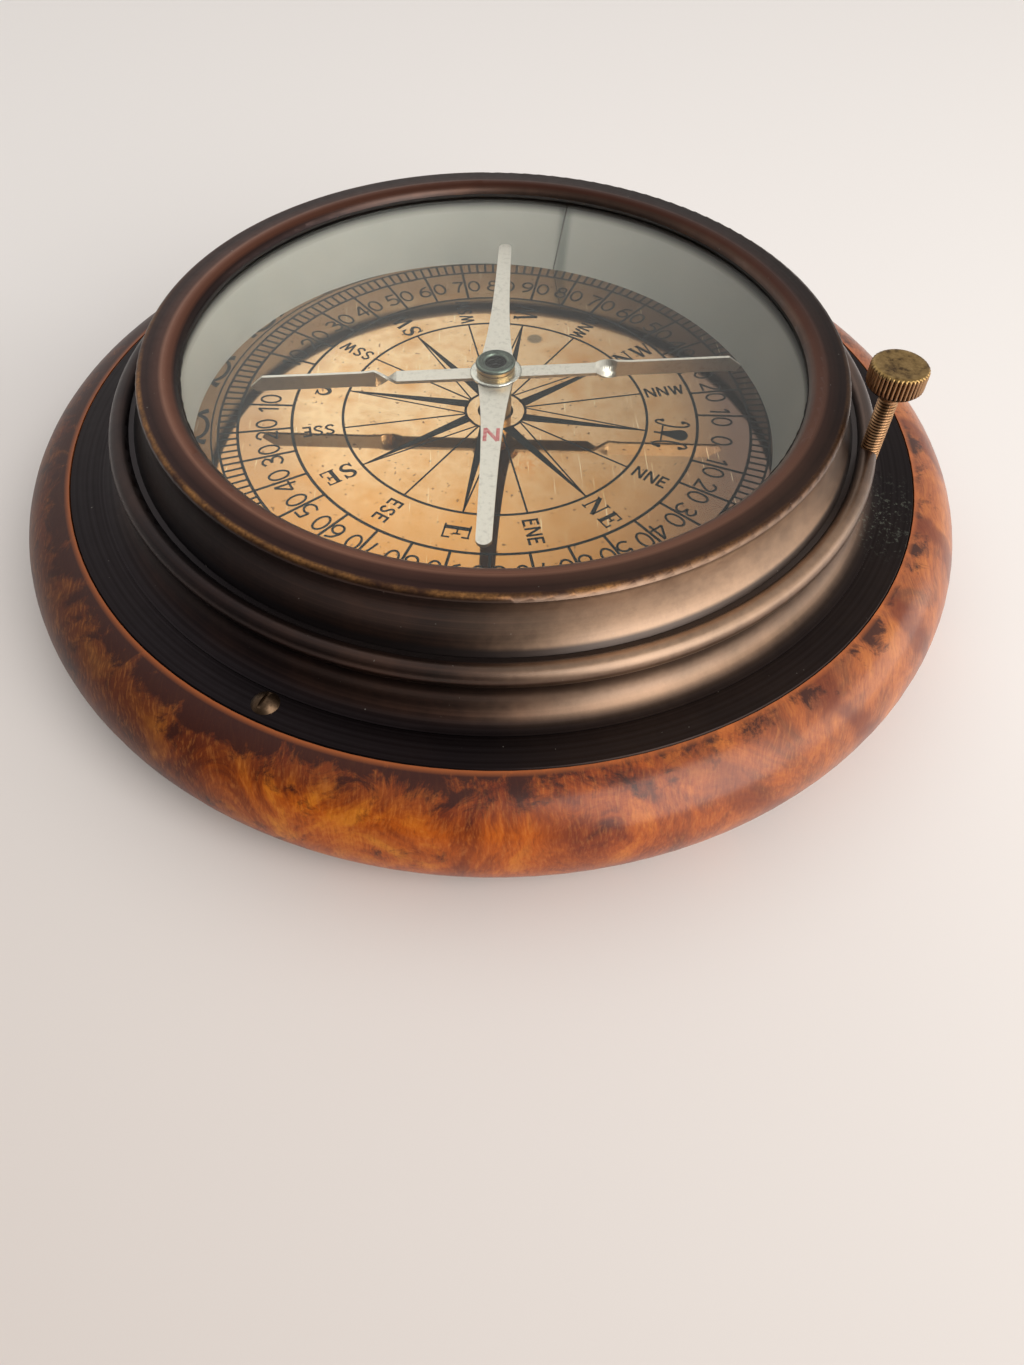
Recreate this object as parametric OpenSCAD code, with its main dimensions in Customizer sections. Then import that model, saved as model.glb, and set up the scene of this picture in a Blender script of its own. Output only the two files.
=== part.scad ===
// Desk marine compass: a turned brass case on a round wooden base, with a printed brass
// dial, a cross-shaped steel needle on a steel point, and a thumbscrew that works a lever
// under the dial to stop the needle. Millimetres, +Z up, origin under the middle of the base.

/* [Base] */
// Radius of the wooden base at its widest
base_r = 76; // [73:0.5:82]
// Thickness of the wood
wood_t = 19.2; // [18:0.1:24]
// Thickness of the felt under the wood
felt_t = 0.8; // [0.5:0.1:2]
// Radius of the felt
felt_r = 65; // [50:0.5:66]

/* [Case] */
// Radius of the flat flange
flange_r = 67.4; // [65:0.1:69]
// Thickness of the flange
flange_t = 1.6; // [1.2:0.1:2.4]
// Radius at which the flat of the flange ends and the cove starts
cove_start_r = 62.4; // [62:0.1:62.8]
// Radius of the hollow cove
cove_r = 4.2; // [4:0.1:4.4]
// Radius of the bead's round section
bead_r = 1.6; // [1.4:0.05:1.75]
// Radius of the case over the bead
bead_over_r = 59.5; // [59.2:0.05:59.8]
// Height of the bead's middle over the flange
bead_rise = 6.95; // [6.8:0.05:7.1]
// Height of the bezel's seat over the flange
bezel_seat_rise = 7.65; // [7.5:0.05:7.8]
// Radius inside the drum
drum_bore_r = 49.4; // [49:0.1:49.8]
// Wall of the drum where the bezel slips over it
drum_wall = 2.6; // [2:0.1:3]
// Height of the drum over the flange, where the glass sits
drum_rise = 12.7; // [12.5:0.1:15]
// Height of the dial's seat over the flange
dial_seat_rise = 1.2; // [0.8:0.1:1.5]
// How far the ring reaches in past the pan's wall
ledge_in = 1.1; // [0.6:0.1:1.4]
// Radius of the pan under the dial
pan_r = 46.8; // [46.2:0.1:47.2]
// Wall of the pan
pan_wall = 1.2; // [0.8:0.1:1.4]
// Depth of the pan under the flange
pan_depth = 8.4; // [8:0.1:9.5]

/* [Bezel and glass] */
// Radius of the clear opening over the glass
opening_r = 47.4; // [46.8:0.1:47.9]
// Radius of the bezel at its waist
bezel_waist_r = 53.35; // [53.15:0.05:53.6]
// Radius of the bezel at its foot
bezel_foot_r = 55.7; // [55.4:0.1:55.9]
// Height of the bezel over the glass
bezel_over_glass = 1.9; // [1.6:0.1:2.6]
// Thickness of the glass
glass_t = 1.6; // [1.2:0.1:2.2]
// Width of the drum's rim that the glass covers
glass_seat_w = 1.2; // [0.8:0.1:1.3]
// Thickness of the seal over the glass
seal_t = 0.4; // [0.3:0.1:0.6]
// Radius inside the painted liner at its foot
liner_r = 46.05; // [45.5:0.05:46.3]
// Radius inside the liner at its top, which keeps to the middle
liner_top_r = 47.85; // [47.2:0.05:48.3]
// Thickness of the liner
liner_t = 0.5; // [0.4:0.1:0.7]
// How far the liner's foot has slipped off centre
liner_shift = 2.5; // [0:0.1:2.6]
// Direction of the slip, in degrees from +X
liner_shift_az = -135; // [-180:5:180]
// Direction of the liner's seam
liner_seam_az = 73; // [-180:1:180]
// Width of the open seam
liner_seam_w = 0.4; // [0.2:0.1:1]

/* [Dial] */
// Thickness of the dial
dial_t = 1; // [0.8:0.1:1.4]
// Radius of the hole in the middle of the dial
dial_hole_r = 2.9; // [2.8:0.1:3.6]

/* [Needle] */
// Direction of the north arm, in degrees from +X
needle_az = -93.7; // [-180:0.1:180]
// Length of each arm from the pivot
arm_len = 38.2; // [32:0.1:39]
// Thickness of the needle
needle_t = 0.5; // [0.4:0.1:0.7]
// Half width that the long arms gain towards the hub
arm_flare = 2.1; // [1.6:0.1:2.4]
// Half width of the long arms at their tips
arm_tip = 1.05; // [0.9:0.05:1.3]
// Width of the side arms where they lie flat
side_w = 2.7; // [2.4:0.1:3.2]
// How far from the pivot the side arms start to twist
twist_start = 15.6; // [14:0.2:18]
// Length of the quarter twist
twist_len = 3.4; // [2.8:0.2:5]
// Depth of the upright blades
blade_w = 2.4; // [1.8:0.1:2.6]
// Degrees by which the side arms stand off square
side_skew = 4; // [0:0.5:6]
// Degrees by which the needle leans on its point
needle_lean = 2.5; // [0:0.1:2.6]
// Height of the needle's plate over the dial's face
needle_rise = 7; // [6.8:0.1:7.3]

/* [Cap and pivot] */
// Radius of the washer on the needle
washer_r = 4.05; // [3.6:0.05:4.6]
// Thickness of that washer
washer_t = 0.4; // [0.3:0.05:0.6]
// Radius of the brass collar
collar_r = 3; // [2.6:0.1:3.4]
// Height of the collar over the washer
collar_h = 1.1; // [0.9:0.1:1.2]
// Height of the steel top over the collar
cap_h = 0.6; // [0.4:0.05:0.8]
// Radius of the jewel
jewel_r = 1.45; // [1.3:0.05:1.5]
// Radius of the steel point
pin_r = 0.6; // [0.5:0.05:0.7]
// Radius of the post's stem
stem_r = 1.8; // [1.7:0.05:1.9]
// Wall of the sleeve that slides on the stem
sleeve_wall = 0.74; // [0.6:0.02:0.8]

/* [Needle stop] */
// Direction of the thumbscrew, in degrees from +X
screw_az = -16; // [-28:1:-6]
// Distance of the thumbscrew from the middle
screw_at_r = 58.3; // [57.8:0.1:58.8]
// Radius of the thumbscrew's shank
shank_r = 1.47; // [1.4:0.01:1.6]
// Length of shank in sight over the flange when the needle is free
shank_out = 18.6; // [18.2:0.1:21]
// Radius of the knurled head
head_r = 4.1; // [3.7:0.05:4.2]
// Height of the knurled head
head_h = 3.9; // [3:0.1:6]
// Ridges round the knurled head
knurls = 40; // [30:1:48]
// Travel of the thumbscrew from free to stopped
screw_travel = 1.6; // [1:0.1:1.6]
// Distance of the lever's pin from the pan's wall
fulcrum_inset = 7.6; // [7.6:0.1:9]
// Height of the lever's pin over the pan's floor
fulcrum_h = 5; // [4.6:0.1:5.2]
// Width of the lever
lever_w = 6.6; // [5:0.2:7]
// Thickness of the lever
lever_t = 1.2; // [1:0.1:1.4]
// Radius of the lever's pin
lever_pin_r = 1; // [0.8:0.05:1.1]

/* [Fixings] */
// Clear space between the flange screws' heads and the cove
fix_clear = 0.1; // [0.1:0.1:0.8]
// Direction of the first flange screw
fix_az = -118.6; // [-150:1:-60]
// Number of flange screws
fix_count = 2; // [2:1:3]
// Radius of a flange screw's round head
fix_head_r = 1.9; // [1.7:0.1:2]
// Length of a flange screw under its head
fix_len = 12; // [8:0.5:14]

/* [Hidden] */
$fn = 120;

// Clearances, each used wherever that kind of fit occurs
seat_gap = 0.05;      // between a part and the recess it drops into
turn_gap = 0.03;      // radial clearance of a shaft that turns or slides
loose_gap = 0.3;      // between parts that never touch
solid = 0.01;         // how far a cutter runs past a face

// Heights, from the table up
flange_z = felt_t + wood_t;
under_z = flange_z - flange_t;
dial_z = flange_z + dial_seat_rise;
dial_face_z = dial_z + dial_t;
glass_z = flange_z + drum_rise;
lip_z = glass_z + glass_t + seal_t;
bezel_top_z = glass_z + glass_t + bezel_over_glass;
bead_z = flange_z + bead_rise;
seat_z = flange_z + bezel_seat_rise;
pan_z = under_z - pan_depth;
pan_floor_z = pan_z + pan_wall;

// Radii that follow from the ones above
nose_r = wood_t / 2;
bead_mid_r = bead_over_r - bead_r;
drum_r = drum_bore_r + drum_wall;
ledge_r = pan_r - pan_wall - ledge_in;
glass_r = drum_bore_r + glass_seat_w;
dial_r = drum_bore_r - 0.2;
pan_seat_h = 1;
pan_corner = 2.6;
edge_break = 0.25;
cove_step = 0.15;
edge_r = 0.8;
waist_drop = 1.25;
crown_fall = 0.15;
roll_r = 2.1;
lip_over = 0.1;
seal_past = 0.15;
neck_h = 1.5;

// Needle and cap, measured from the jewel's hollow, which rides on the steel point
plate_mid_z = dial_face_z + needle_rise;
neck_r = jewel_r + 0.42;
neck_drop = 0.3;
jewel_h = 1.6;
cup_h = 1;
apex_over_plate = 0.95;
pivot_z = plate_mid_z + apex_over_plate;
plate_top = needle_t / 2 - apex_over_plate;
washer_top = plate_top + washer_t;
collar_top = washer_top + collar_h;
neck_low = -apex_over_plate - needle_t / 2 - neck_drop;
tip_gap = 0.05;

// Stop: the screw pushes the outer end of the lever down, and the fork lifts the sleeve
fulcrum_r = pan_r - pan_wall - fulcrum_inset;
fulcrum_z = pan_floor_z + fulcrum_h;
outer_arm = screw_at_r - fulcrum_r;
inner_arm = fulcrum_r;
lift = screw_travel * inner_arm / outer_arm;
lever_top_z = fulcrum_z + lever_t / 2;
fork_slot = stem_r + 0.5;
fork_prong = 2.1;
fork_w = 2 * fork_slot + 2 * fork_prong;
fork_shoulder = 2;
barrel_wall = 1.1;
fork_past = 2;
fork_gap = 0.4;
sleeve_low_z = lever_top_z + fork_gap;
sleeve_flange_t = 0.8;
sleeve_flange_r = stem_r + sleeve_wall + 1.6;
sleeve_top_z = pivot_z + neck_low - 0.2 - lift;
post_foot_r = 6;
post_foot_h = 2;
post_shoulder_r = 3;
post_shoulder_z = fulcrum_z - lever_t / 2 - 1;
stem_top_z = pivot_z + neck_low - 1.4;
point_h = 1.5;
pin_low_z = dial_z + 1;
post_screw_r = 1.25;
post_screw_head_r = 2 * post_screw_r;
pad_r = shank_r - 0.27;
pad_h = 1.1;
tip_stem_r = 0.8;
tip_stem_h = 2;
tip_low_z = lever_top_z + 0.12;
shank_low_z = tip_low_z + pad_h;
head_z = flange_z + shank_out;
bracket_t = 1;
ear_t = 1.2;
bracket_w = lever_w + 2 * loose_gap + 2 * ear_t;
ear_r = 2.4;
pin_past = 0.4;
bracket_screw_at = 4.3;
bracket_screw_r = 1;
bracket_l = 2 * (bracket_screw_at + bracket_screw_r + 0.5);
screw_head_h = 0.9;
slot_w = 0.5;
slot_d = 0.5;
window_gap = 0.7;
window_drop = 3;
window_rim = 0.6;
channel_w = lever_w + 2 * (window_gap + 1);
channel_z = fulcrum_z - window_drop - 1;
channel_end_r = screw_at_r + lever_w / 2 + 1.3;
fix_at_r = cove_start_r + fix_head_r + fix_clear;
fix_shank_r = 1.2;
fix_dome_h = 1.1;
fix_point_h = 3;

// A disc or tube of given radii from height z0 to z1
module tube(r_out, r_in, z0, z1) {
    translate([0, 0, z0])
        difference() {
            cylinder(r = r_out, h = z1 - z0);
            if (r_in > 0)
                translate([0, 0, -solid]) cylinder(r = r_in, h = z1 - z0 + 2 * solid);
        }
}

// Carries its children to the thumbscrew's direction
module stop_side() rotate([0, 0, screw_az]) children();

// Carries its children to the jewel's hollow, in the needle's own direction and lean
module needle_frame() {
    translate([0, 0, pivot_z]) rotate([0, 0, needle_az]) rotate([needle_lean, 0, 0]) children();
}

// Carries its children to each flange screw, at the flange's face
module each_fixing() {
    for (i = [0 : fix_count - 1])
        rotate([0, 0, fix_az + i * 360 / fix_count])
            translate([fix_at_r, 0, flange_z]) children();
}

// Turned base with a full round nose, hollowed for the flange, the pan and the lever
module wood_base() {
    color("sienna")
        difference() {
            rotate_extrude()
                translate([0, felt_t]) {
                    square([base_r - nose_r, wood_t]);
                    intersection() {
                        translate([base_r - nose_r, nose_r]) circle(r = nose_r);
                        square([base_r + 1, wood_t]);
                    }
                }
            tube(flange_r + seat_gap, 0, under_z, flange_z + 1);
            tube(pan_r + seat_gap, 0, pan_z - loose_gap, flange_z);
            stop_side()
                translate([pan_r - pan_corner, -channel_w / 2, channel_z])
                    cube([channel_end_r - pan_r + pan_corner, channel_w, flange_z - channel_z]);
            each_fixing()
                translate([0, 0, -flange_t - fix_len - 1])
                    cylinder(r = fix_shank_r + turn_gap, h = fix_len + 2, $fn = 32);
        }
}

// Felt glued under the base
module base_felt() {
    color("darkgreen") tube(felt_r, 0, 0, felt_t);
}

// Half section of the case ring: flange, cove, bead, seat for the bezel, and drum
module case_section() {
    difference() {
        union() {
            polygon([
                [ledge_r, under_z], [flange_r, under_z], [flange_r, flange_z - edge_break],
                [flange_r - edge_break, flange_z], [ledge_r, flange_z]
            ]);
            difference() {
                translate([ledge_r, flange_z - solid])
                    square([cove_start_r - ledge_r, bead_rise - bead_r / 2 + solid]);
                translate([cove_start_r, flange_z + cove_step + cove_r]) circle(r = cove_r);
            }
            translate([bead_mid_r, bead_z]) circle(r = bead_r);
            translate([ledge_r, bead_z - bead_r]) square([bead_mid_r - ledge_r, seat_z - bead_z + bead_r]);
            translate([ledge_r, bead_z - 1]) square([drum_r - ledge_r, glass_z - bead_z + 1]);
        }
        translate([0, dial_z]) square([drum_bore_r, glass_z - dial_z + 1]);
        translate([pan_r - pan_wall - seat_gap, under_z - 1])
            square([pan_wall + 2 * seat_gap, pan_seat_h + 1 + seat_gap]);
    }
}

// Cast and turned ring of the case, drilled for the thumbscrew and the flange screws
module case_ring() {
    color([0.20, 0.14, 0.11])
        difference() {
            rotate_extrude($fn = 180) case_section();
            stop_side()
                translate([screw_at_r, 0, under_z - 1])
                    cylinder(r = shank_r + turn_gap, h = bead_z - under_z + 4, $fn = 48);
            each_fixing()
                translate([0, 0, -flange_t - 1])
                    cylinder(r = fix_shank_r + turn_gap, h = flange_t + 2, $fn = 32);
        }
}

// Half outline of a round cup of radius r and height h, with a corner of radius c at its foot
module cup_outline(r, h, c) {
    square([r - c, h]);
    translate([0, c]) square([r, h - c]);
    translate([r - c, c]) circle(r = c);
}

// Spun pan under the dial, let into the ring, with a slot that the lever passes through
module case_pan() {
    pan_h = under_z + pan_seat_h - pan_z;
    color("darkgoldenrod")
        difference() {
            translate([0, 0, pan_z])
                rotate_extrude()
                    difference() {
                        cup_outline(pan_r, pan_h, pan_corner);
                        translate([0, pan_wall])
                            cup_outline(pan_r - pan_wall, pan_h, pan_corner - pan_wall);
                    }
            translate([0, 0, pan_z - 1])
                cylinder(r = post_screw_r + turn_gap, h = pan_wall + 2, $fn = 32);
            translate([0, 0, pan_z - solid])
                cylinder(r1 = post_screw_head_r + seat_gap, r2 = post_screw_r + turn_gap,
                    h = post_screw_r, $fn = 32);
            stop_side() {
                translate([pan_r - pan_corner, -lever_w / 2 - window_gap, fulcrum_z - window_drop])
                    cube([
                        2 * pan_corner, lever_w + 2 * window_gap,
                        under_z - window_rim - fulcrum_z + window_drop
                    ]);
                for (s = [-1, 1])
                    translate([fulcrum_r + s * bracket_screw_at, 0, pan_z - 1])
                        cylinder(r = bracket_screw_r + turn_gap, h = pan_wall + 2, $fn = 32);
            }
        }
}

// Round-head slotted screws that hold the flange to the wood
module flange_screws() {
    dome_r = (fix_head_r * fix_head_r + fix_dome_h * fix_dome_h) / (2 * fix_dome_h);
    color("goldenrod")
        each_fixing()
            difference() {
                union() {
                    intersection() {
                        translate([0, 0, fix_dome_h - dome_r]) sphere(r = dome_r, $fn = 64);
                        cylinder(r = fix_head_r, h = fix_dome_h + 1, $fn = 64);
                    }
                    translate([0, 0, fix_point_h - flange_t - fix_len])
                        cylinder(r = fix_shank_r, h = flange_t + fix_len - fix_point_h + solid, $fn = 32);
                    translate([0, 0, -flange_t - fix_len])
                        cylinder(r1 = 0.2, r2 = fix_shank_r, h = fix_point_h, $fn = 32);
                }
                translate([-fix_head_r, -slot_w / 2, fix_dome_h - slot_d])
                    cube([2 * fix_head_r, slot_w, 2 * slot_d]);
            }
}

// Half section of the bezel: hollow outer wall, rounded edge, sloping crown and inner roll
module bezel_section() {
    foot_z = seat_z + seat_gap;
    edge_z = bezel_top_z - crown_fall - edge_r;
    waist_z = edge_z - waist_drop;
    flare = bezel_foot_r - bezel_waist_r;
    fall = waist_z - foot_z;
    hollow_r = (fall * fall + flare * flare) / (2 * flare);
    edge_mid = bezel_waist_r + hollow_r - sqrt(hollow_r * hollow_r - waist_drop * waist_drop) - edge_r;
    roll_mid = opening_r + roll_r - lip_over;
    difference() {
        translate([drum_r + seat_gap, foot_z]) square([bezel_foot_r - drum_r + 1, edge_z - foot_z]);
        translate([bezel_waist_r + hollow_r, waist_z]) circle(r = hollow_r, $fn = 240);
    }
    translate([edge_mid - solid, edge_z - solid]) circle(r = edge_r);
    translate([glass_r + loose_gap, glass_z + 0.2]) square([edge_mid - glass_r - loose_gap, lip_z - glass_z]);
    polygon([
        [roll_mid - solid, lip_z], [edge_mid, lip_z],
        [edge_mid, bezel_top_z - crown_fall], [roll_mid - solid, bezel_top_z - solid]
    ]);
    intersection() {
        translate([roll_mid, bezel_top_z - roll_r]) circle(r = roll_r);
        translate([opening_r, lip_z]) square([roll_mid - opening_r + solid, bezel_top_z]);
    }
}

// Deep ring that slips over the drum and holds the glass down
module bezel_ring() {
    color([0.27, 0.18, 0.14]) rotate_extrude($fn = 180) bezel_section();
}

// Flat glass on the rim of the drum
module glass_pane() {
    color([0.85, 0.93, 0.92, 0.35]) tube(glass_r, 0, glass_z, glass_z + glass_t);
}

// Dark seal between the glass and the lip, squeezed out a little into the opening
module glass_seal() {
    color("black") tube(glass_r - 0.1, opening_r - seal_past, glass_z + glass_t, lip_z);
}

// Painted strip rolled into a flared ring, which leans because its foot has slipped on the dial
module wall_liner() {
    liner_h = glass_z - 0.1 - dial_face_z;
    slant = liner_shift / liner_h;
    color([0.66, 0.69, 0.64])
        difference() {
            rotate([0, 0, liner_shift_az])
                translate([liner_shift, 0, dial_face_z])
                    multmatrix([[1, 0, -slant, 0], [0, 1, 0, 0], [0, 0, 1, 0], [0, 0, 0, 1]])
                        rotate_extrude()
                            polygon([
                                [liner_r, 0], [liner_r + liner_t, 0],
                                [liner_top_r + liner_t, liner_h], [liner_top_r, liner_h]
                            ]);
            rotate([0, 0, liner_seam_az])
                translate([liner_r - liner_shift - 1, -liner_seam_w / 2, dial_face_z - 1])
                    cube([liner_shift + liner_top_r - liner_r + liner_t + 2, liner_seam_w, drum_rise]);
        }
}

// Flat dial on the ledge of the drum
module dial_plate() {
    color("goldenrod") tube(dial_r, dial_hole_r, dial_z, dial_face_z);
}

// Post that stands on the pan and carries the steel point
module pivot_post() {
    color("darkgoldenrod")
        difference() {
            union() {
                tube(post_foot_r, 0, pan_floor_z, pan_floor_z + post_foot_h);
                tube(post_shoulder_r, 0, pan_floor_z, post_shoulder_z);
                tube(stem_r, 0, pan_floor_z, stem_top_z);
            }
            translate([0, 0, pin_low_z])
                cylinder(r = pin_r + solid, h = stem_top_z - pin_low_z + 1, $fn = 32);
            translate([0, 0, pan_floor_z - 1]) cylinder(r = post_screw_r + turn_gap, h = 3.9, $fn = 32);
        }
}

// Countersunk screw that holds the post from below
module post_screw() {
    color("dimgray")
        difference() {
            union() {
                translate([0, 0, pan_z])
                    cylinder(r1 = post_screw_head_r - seat_gap, r2 = post_screw_r,
                        h = post_screw_r, $fn = 32);
                translate([0, 0, pan_z + 0.5]) cylinder(r = post_screw_r, h = pan_wall + 2, $fn = 32);
            }
            translate([-2 * post_screw_r, -slot_w / 2, pan_z - slot_d])
                cube([4 * post_screw_r, slot_w, 2 * slot_d]);
        }
}

// Hardened steel point, pressed into the post
module pivot_pin() {
    top_z = pivot_z - tip_gap;
    color("silver") {
        translate([0, 0, pin_low_z]) cylinder(r = pin_r, h = top_z - point_h - pin_low_z, $fn = 32);
        translate([0, 0, top_z - point_h]) cylinder(r1 = pin_r, r2 = 0.04, h = point_h, $fn = 32);
    }
}

// Half width of a long arm at distance x from the pivot
function arm_half(x) = arm_tip + arm_flare * exp(-x / 11);

// One long arm along +X: a hollow-sided taper with a round tip
module long_arm() {
    steps = 14;
    last = arm_len - arm_half(arm_len);
    side = [for (i = [0 : steps]) let (x = last * i / steps) [x, arm_half(x)]];
    polygon(concat(side, [for (i = [0 : steps]) let (p = side[steps - i]) [p[0], -p[1]]]));
    translate([last, 0]) circle(r = arm_half(last), $fn = 32);
}

// One side arm along +X: flat by the hub, a quarter twist, then an upright pointed blade
module side_arm() {
    blade_start = twist_start + twist_len;
    translate([0, -side_w / 2, -needle_t / 2]) cube([twist_start, side_w, needle_t]);
    translate([twist_start - solid, 0, 0]) rotate([90, 0, 90])
        linear_extrude(height = twist_len + 2 * solid, twist = -90, slices = 10, segments = 8)
            square([side_w, needle_t], center = true);
    translate([0, needle_t / 2, 0]) rotate([90, 0, 0])
        linear_extrude(height = needle_t)
            polygon([
                [blade_start, -side_w / 2], [blade_start, side_w / 2],
                [blade_start + 2, blade_w / 2], [arm_len - 1.7, blade_w / 2],
                [arm_len + 0.3, -blade_w * 0.15], [arm_len - 0.4, -blade_w / 2],
                [blade_start + 2, -blade_w / 2]
            ]);
}

// Cross-shaped steel needle, holed for the neck of the cap
module needle() {
    color("gainsboro")
        needle_frame() translate([0, 0, -apex_over_plate])
            difference() {
                union() {
                    translate([0, 0, -needle_t / 2])
                        linear_extrude(height = needle_t) {
                            long_arm();
                            rotate(180) long_arm();
                            circle(r = neck_r + 1.6, $fn = 64);
                        }
                    for (a = [90, 270]) rotate([0, 0, a + side_skew]) side_arm();
                }
                translate([0, 0, -1]) cylinder(r = neck_r + turn_gap, h = 2, $fn = 48);
            }
}

// Bright washer on top of the needle
module cap_washer() {
    color("whitesmoke") needle_frame() tube(washer_r, neck_r + turn_gap, plate_top, washer_top);
}

// Brass collar whose neck passes through the washer and the needle
module cap_collar() {
    groove_d = 0.25;
    groove_w = collar_h * 0.15;
    groove_low = washer_top + collar_h * 0.45;
    color("peru")
        needle_frame()
            difference() {
                union() {
                    tube(neck_r, 0, neck_low, washer_top + solid);
                    tube(collar_r, 0, washer_top, collar_top);
                }
                tube(collar_r + 1, collar_r - groove_d, groove_low, groove_low + groove_w);
                translate([0, 0, neck_low - 1])
                    cylinder(r = jewel_r + solid, h = jewel_h - cup_h - neck_low + 1, $fn = 48);
            }
}

// Dark steel top of the cap, chamfered and hollowed in the middle
module cap_top() {
    color("slategray")
        needle_frame()
            difference() {
                union() {
                    tube(collar_r + 0.1, 0, collar_top, collar_top + cap_h * 0.6);
                    translate([0, 0, collar_top + cap_h * 0.6 - solid])
                        cylinder(r1 = collar_r + 0.1, r2 = collar_r - 0.3, h = cap_h * 0.4 + solid, $fn = 64);
                }
                translate([0, 0, collar_top + 0.15]) cylinder(r1 = 1.2, r2 = 1.7, h = cap_h, $fn = 48);
            }
}

// Jewel with the conical hollow that rides on the point
module cap_jewel() {
    color("lightblue")
        needle_frame()
            difference() {
                tube(jewel_r, 0, -cup_h, jewel_h - cup_h);
                translate([0, 0, -cup_h - solid])
                    cylinder(r1 = jewel_r - 0.25, r2 = 0.05, h = cup_h + solid, $fn = 32);
            }
}

// Sleeve that slides up the stem and stops the needle's cap
module lifter_sleeve() {
    color("darkgoldenrod") {
        bore = stem_r + turn_gap;
        tube(stem_r + sleeve_wall, bore, sleeve_low_z, sleeve_top_z);
        tube(sleeve_flange_r, bore, sleeve_low_z, sleeve_low_z + sleeve_flange_t);
    }
}

// Outline of the lever, with its pin at the origin and the screw's end along +X
module lever_outline() {
    neck_x = inner_arm - fork_w / 2 - fork_shoulder;
    difference() {
        union() {
            polygon([
                [outer_arm, lever_w / 2], [-neck_x, lever_w / 2], [-neck_x - fork_shoulder, fork_w / 2],
                [-inner_arm - fork_past, fork_w / 2], [-inner_arm - fork_past, -fork_w / 2],
                [-neck_x - fork_shoulder, -fork_w / 2], [-neck_x, -lever_w / 2], [outer_arm, -lever_w / 2]
            ]);
            translate([outer_arm, 0]) circle(r = lever_w / 2, $fn = 48);
        }
        translate([-inner_arm, 0]) circle(r = fork_slot, $fn = 48);
        translate([-inner_arm - fork_past - 1, -fork_slot]) square([fork_past + 1, 2 * fork_slot]);
        translate([-inner_arm / 2, 0]) circle(r = lever_w * 0.22, $fn = 32);
    }
}

// Lever: flat strip with a fork at the post and a barrel on its pin
module lock_lever() {
    color("burlywood")
        stop_side() translate([fulcrum_r, 0, fulcrum_z])
            difference() {
                union() {
                    translate([0, 0, -lever_t / 2]) linear_extrude(height = lever_t) lever_outline();
                    rotate([90, 0, 0])
                        cylinder(r = lever_pin_r + barrel_wall, h = lever_w, center = true, $fn = 48);
                }
                rotate([90, 0, 0])
                    cylinder(r = lever_pin_r + turn_gap, h = lever_w + 2, center = true, $fn = 48);
            }
}

// Folded bracket whose two ears carry the lever's pin
module lever_bracket() {
    color("peru")
        stop_side() translate([fulcrum_r, 0, 0])
            difference() {
                union() {
                    translate([-bracket_l / 2, -bracket_w / 2, pan_floor_z])
                        cube([bracket_l, bracket_w, bracket_t]);
                    for (s = [-1, 1])
                        translate([0, s * (bracket_w - ear_t) / 2, 0]) {
                            translate([-ear_r, -ear_t / 2, pan_floor_z])
                                cube([2 * ear_r, ear_t, fulcrum_h]);
                            translate([0, 0, fulcrum_z]) rotate([90, 0, 0])
                                cylinder(r = ear_r, h = ear_t, center = true, $fn = 48);
                        }
                }
                translate([0, 0, fulcrum_z]) rotate([90, 0, 0])
                    cylinder(r = lever_pin_r + solid, h = bracket_w + 2, center = true, $fn = 48);
                for (s = [-1, 1])
                    translate([s * bracket_screw_at, 0, pan_floor_z - 1])
                        cylinder(r = bracket_screw_r + turn_gap, h = bracket_t + 2, $fn = 32);
            }
}

// Two cheese-head screws that hold the bracket to the pan
module bracket_screws() {
    head_low = pan_floor_z + bracket_t;
    color("dimgray")
        stop_side()
            for (s = [-1, 1])
                translate([fulcrum_r + s * bracket_screw_at, 0, 0])
                    difference() {
                        union() {
                            tube(bracket_screw_r, 0, pan_z, head_low + solid);
                            tube(bracket_screw_r * 1.6, 0, head_low, head_low + screw_head_h);
                        }
                        translate([-2 * bracket_screw_r, -slot_w / 2, head_low + screw_head_h - slot_d])
                            cube([4 * bracket_screw_r, slot_w, 2 * slot_d]);
                    }
}

// Pin through the bracket's ears and the lever's barrel
module lever_pin() {
    color("silver")
        stop_side() translate([fulcrum_r, 0, fulcrum_z]) rotate([90, 0, 0])
            cylinder(r = lever_pin_r, h = bracket_w + 2 * pin_past, center = true, $fn = 48);
}

// Steel tip that presses on the lever and lets the screw turn on its stem
module thrust_tip() {
    color("gray")
        stop_side() translate([screw_at_r, 0, tip_low_z]) {
            translate([0, 0, 0.4]) cylinder(r = pad_r, h = pad_h - 0.4, $fn = 48);
            cylinder(r1 = pad_r - 0.5, r2 = pad_r, h = 0.4 + solid, $fn = 48);
            translate([0, 0, pad_h - solid]) cylinder(r = tip_stem_r, h = tip_stem_h, $fn = 48);
        }
}

// Cross section of the knurled head: a ring of straight ridges
module knurl_outline() {
    depth = 0.28;
    polygon([
        for (i = [0 : 2 * knurls - 1])
            let (a = i * 180 / knurls, r = head_r - (i % 2) * depth)
                [r * cos(a), r * sin(a)]
    ]);
}

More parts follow.
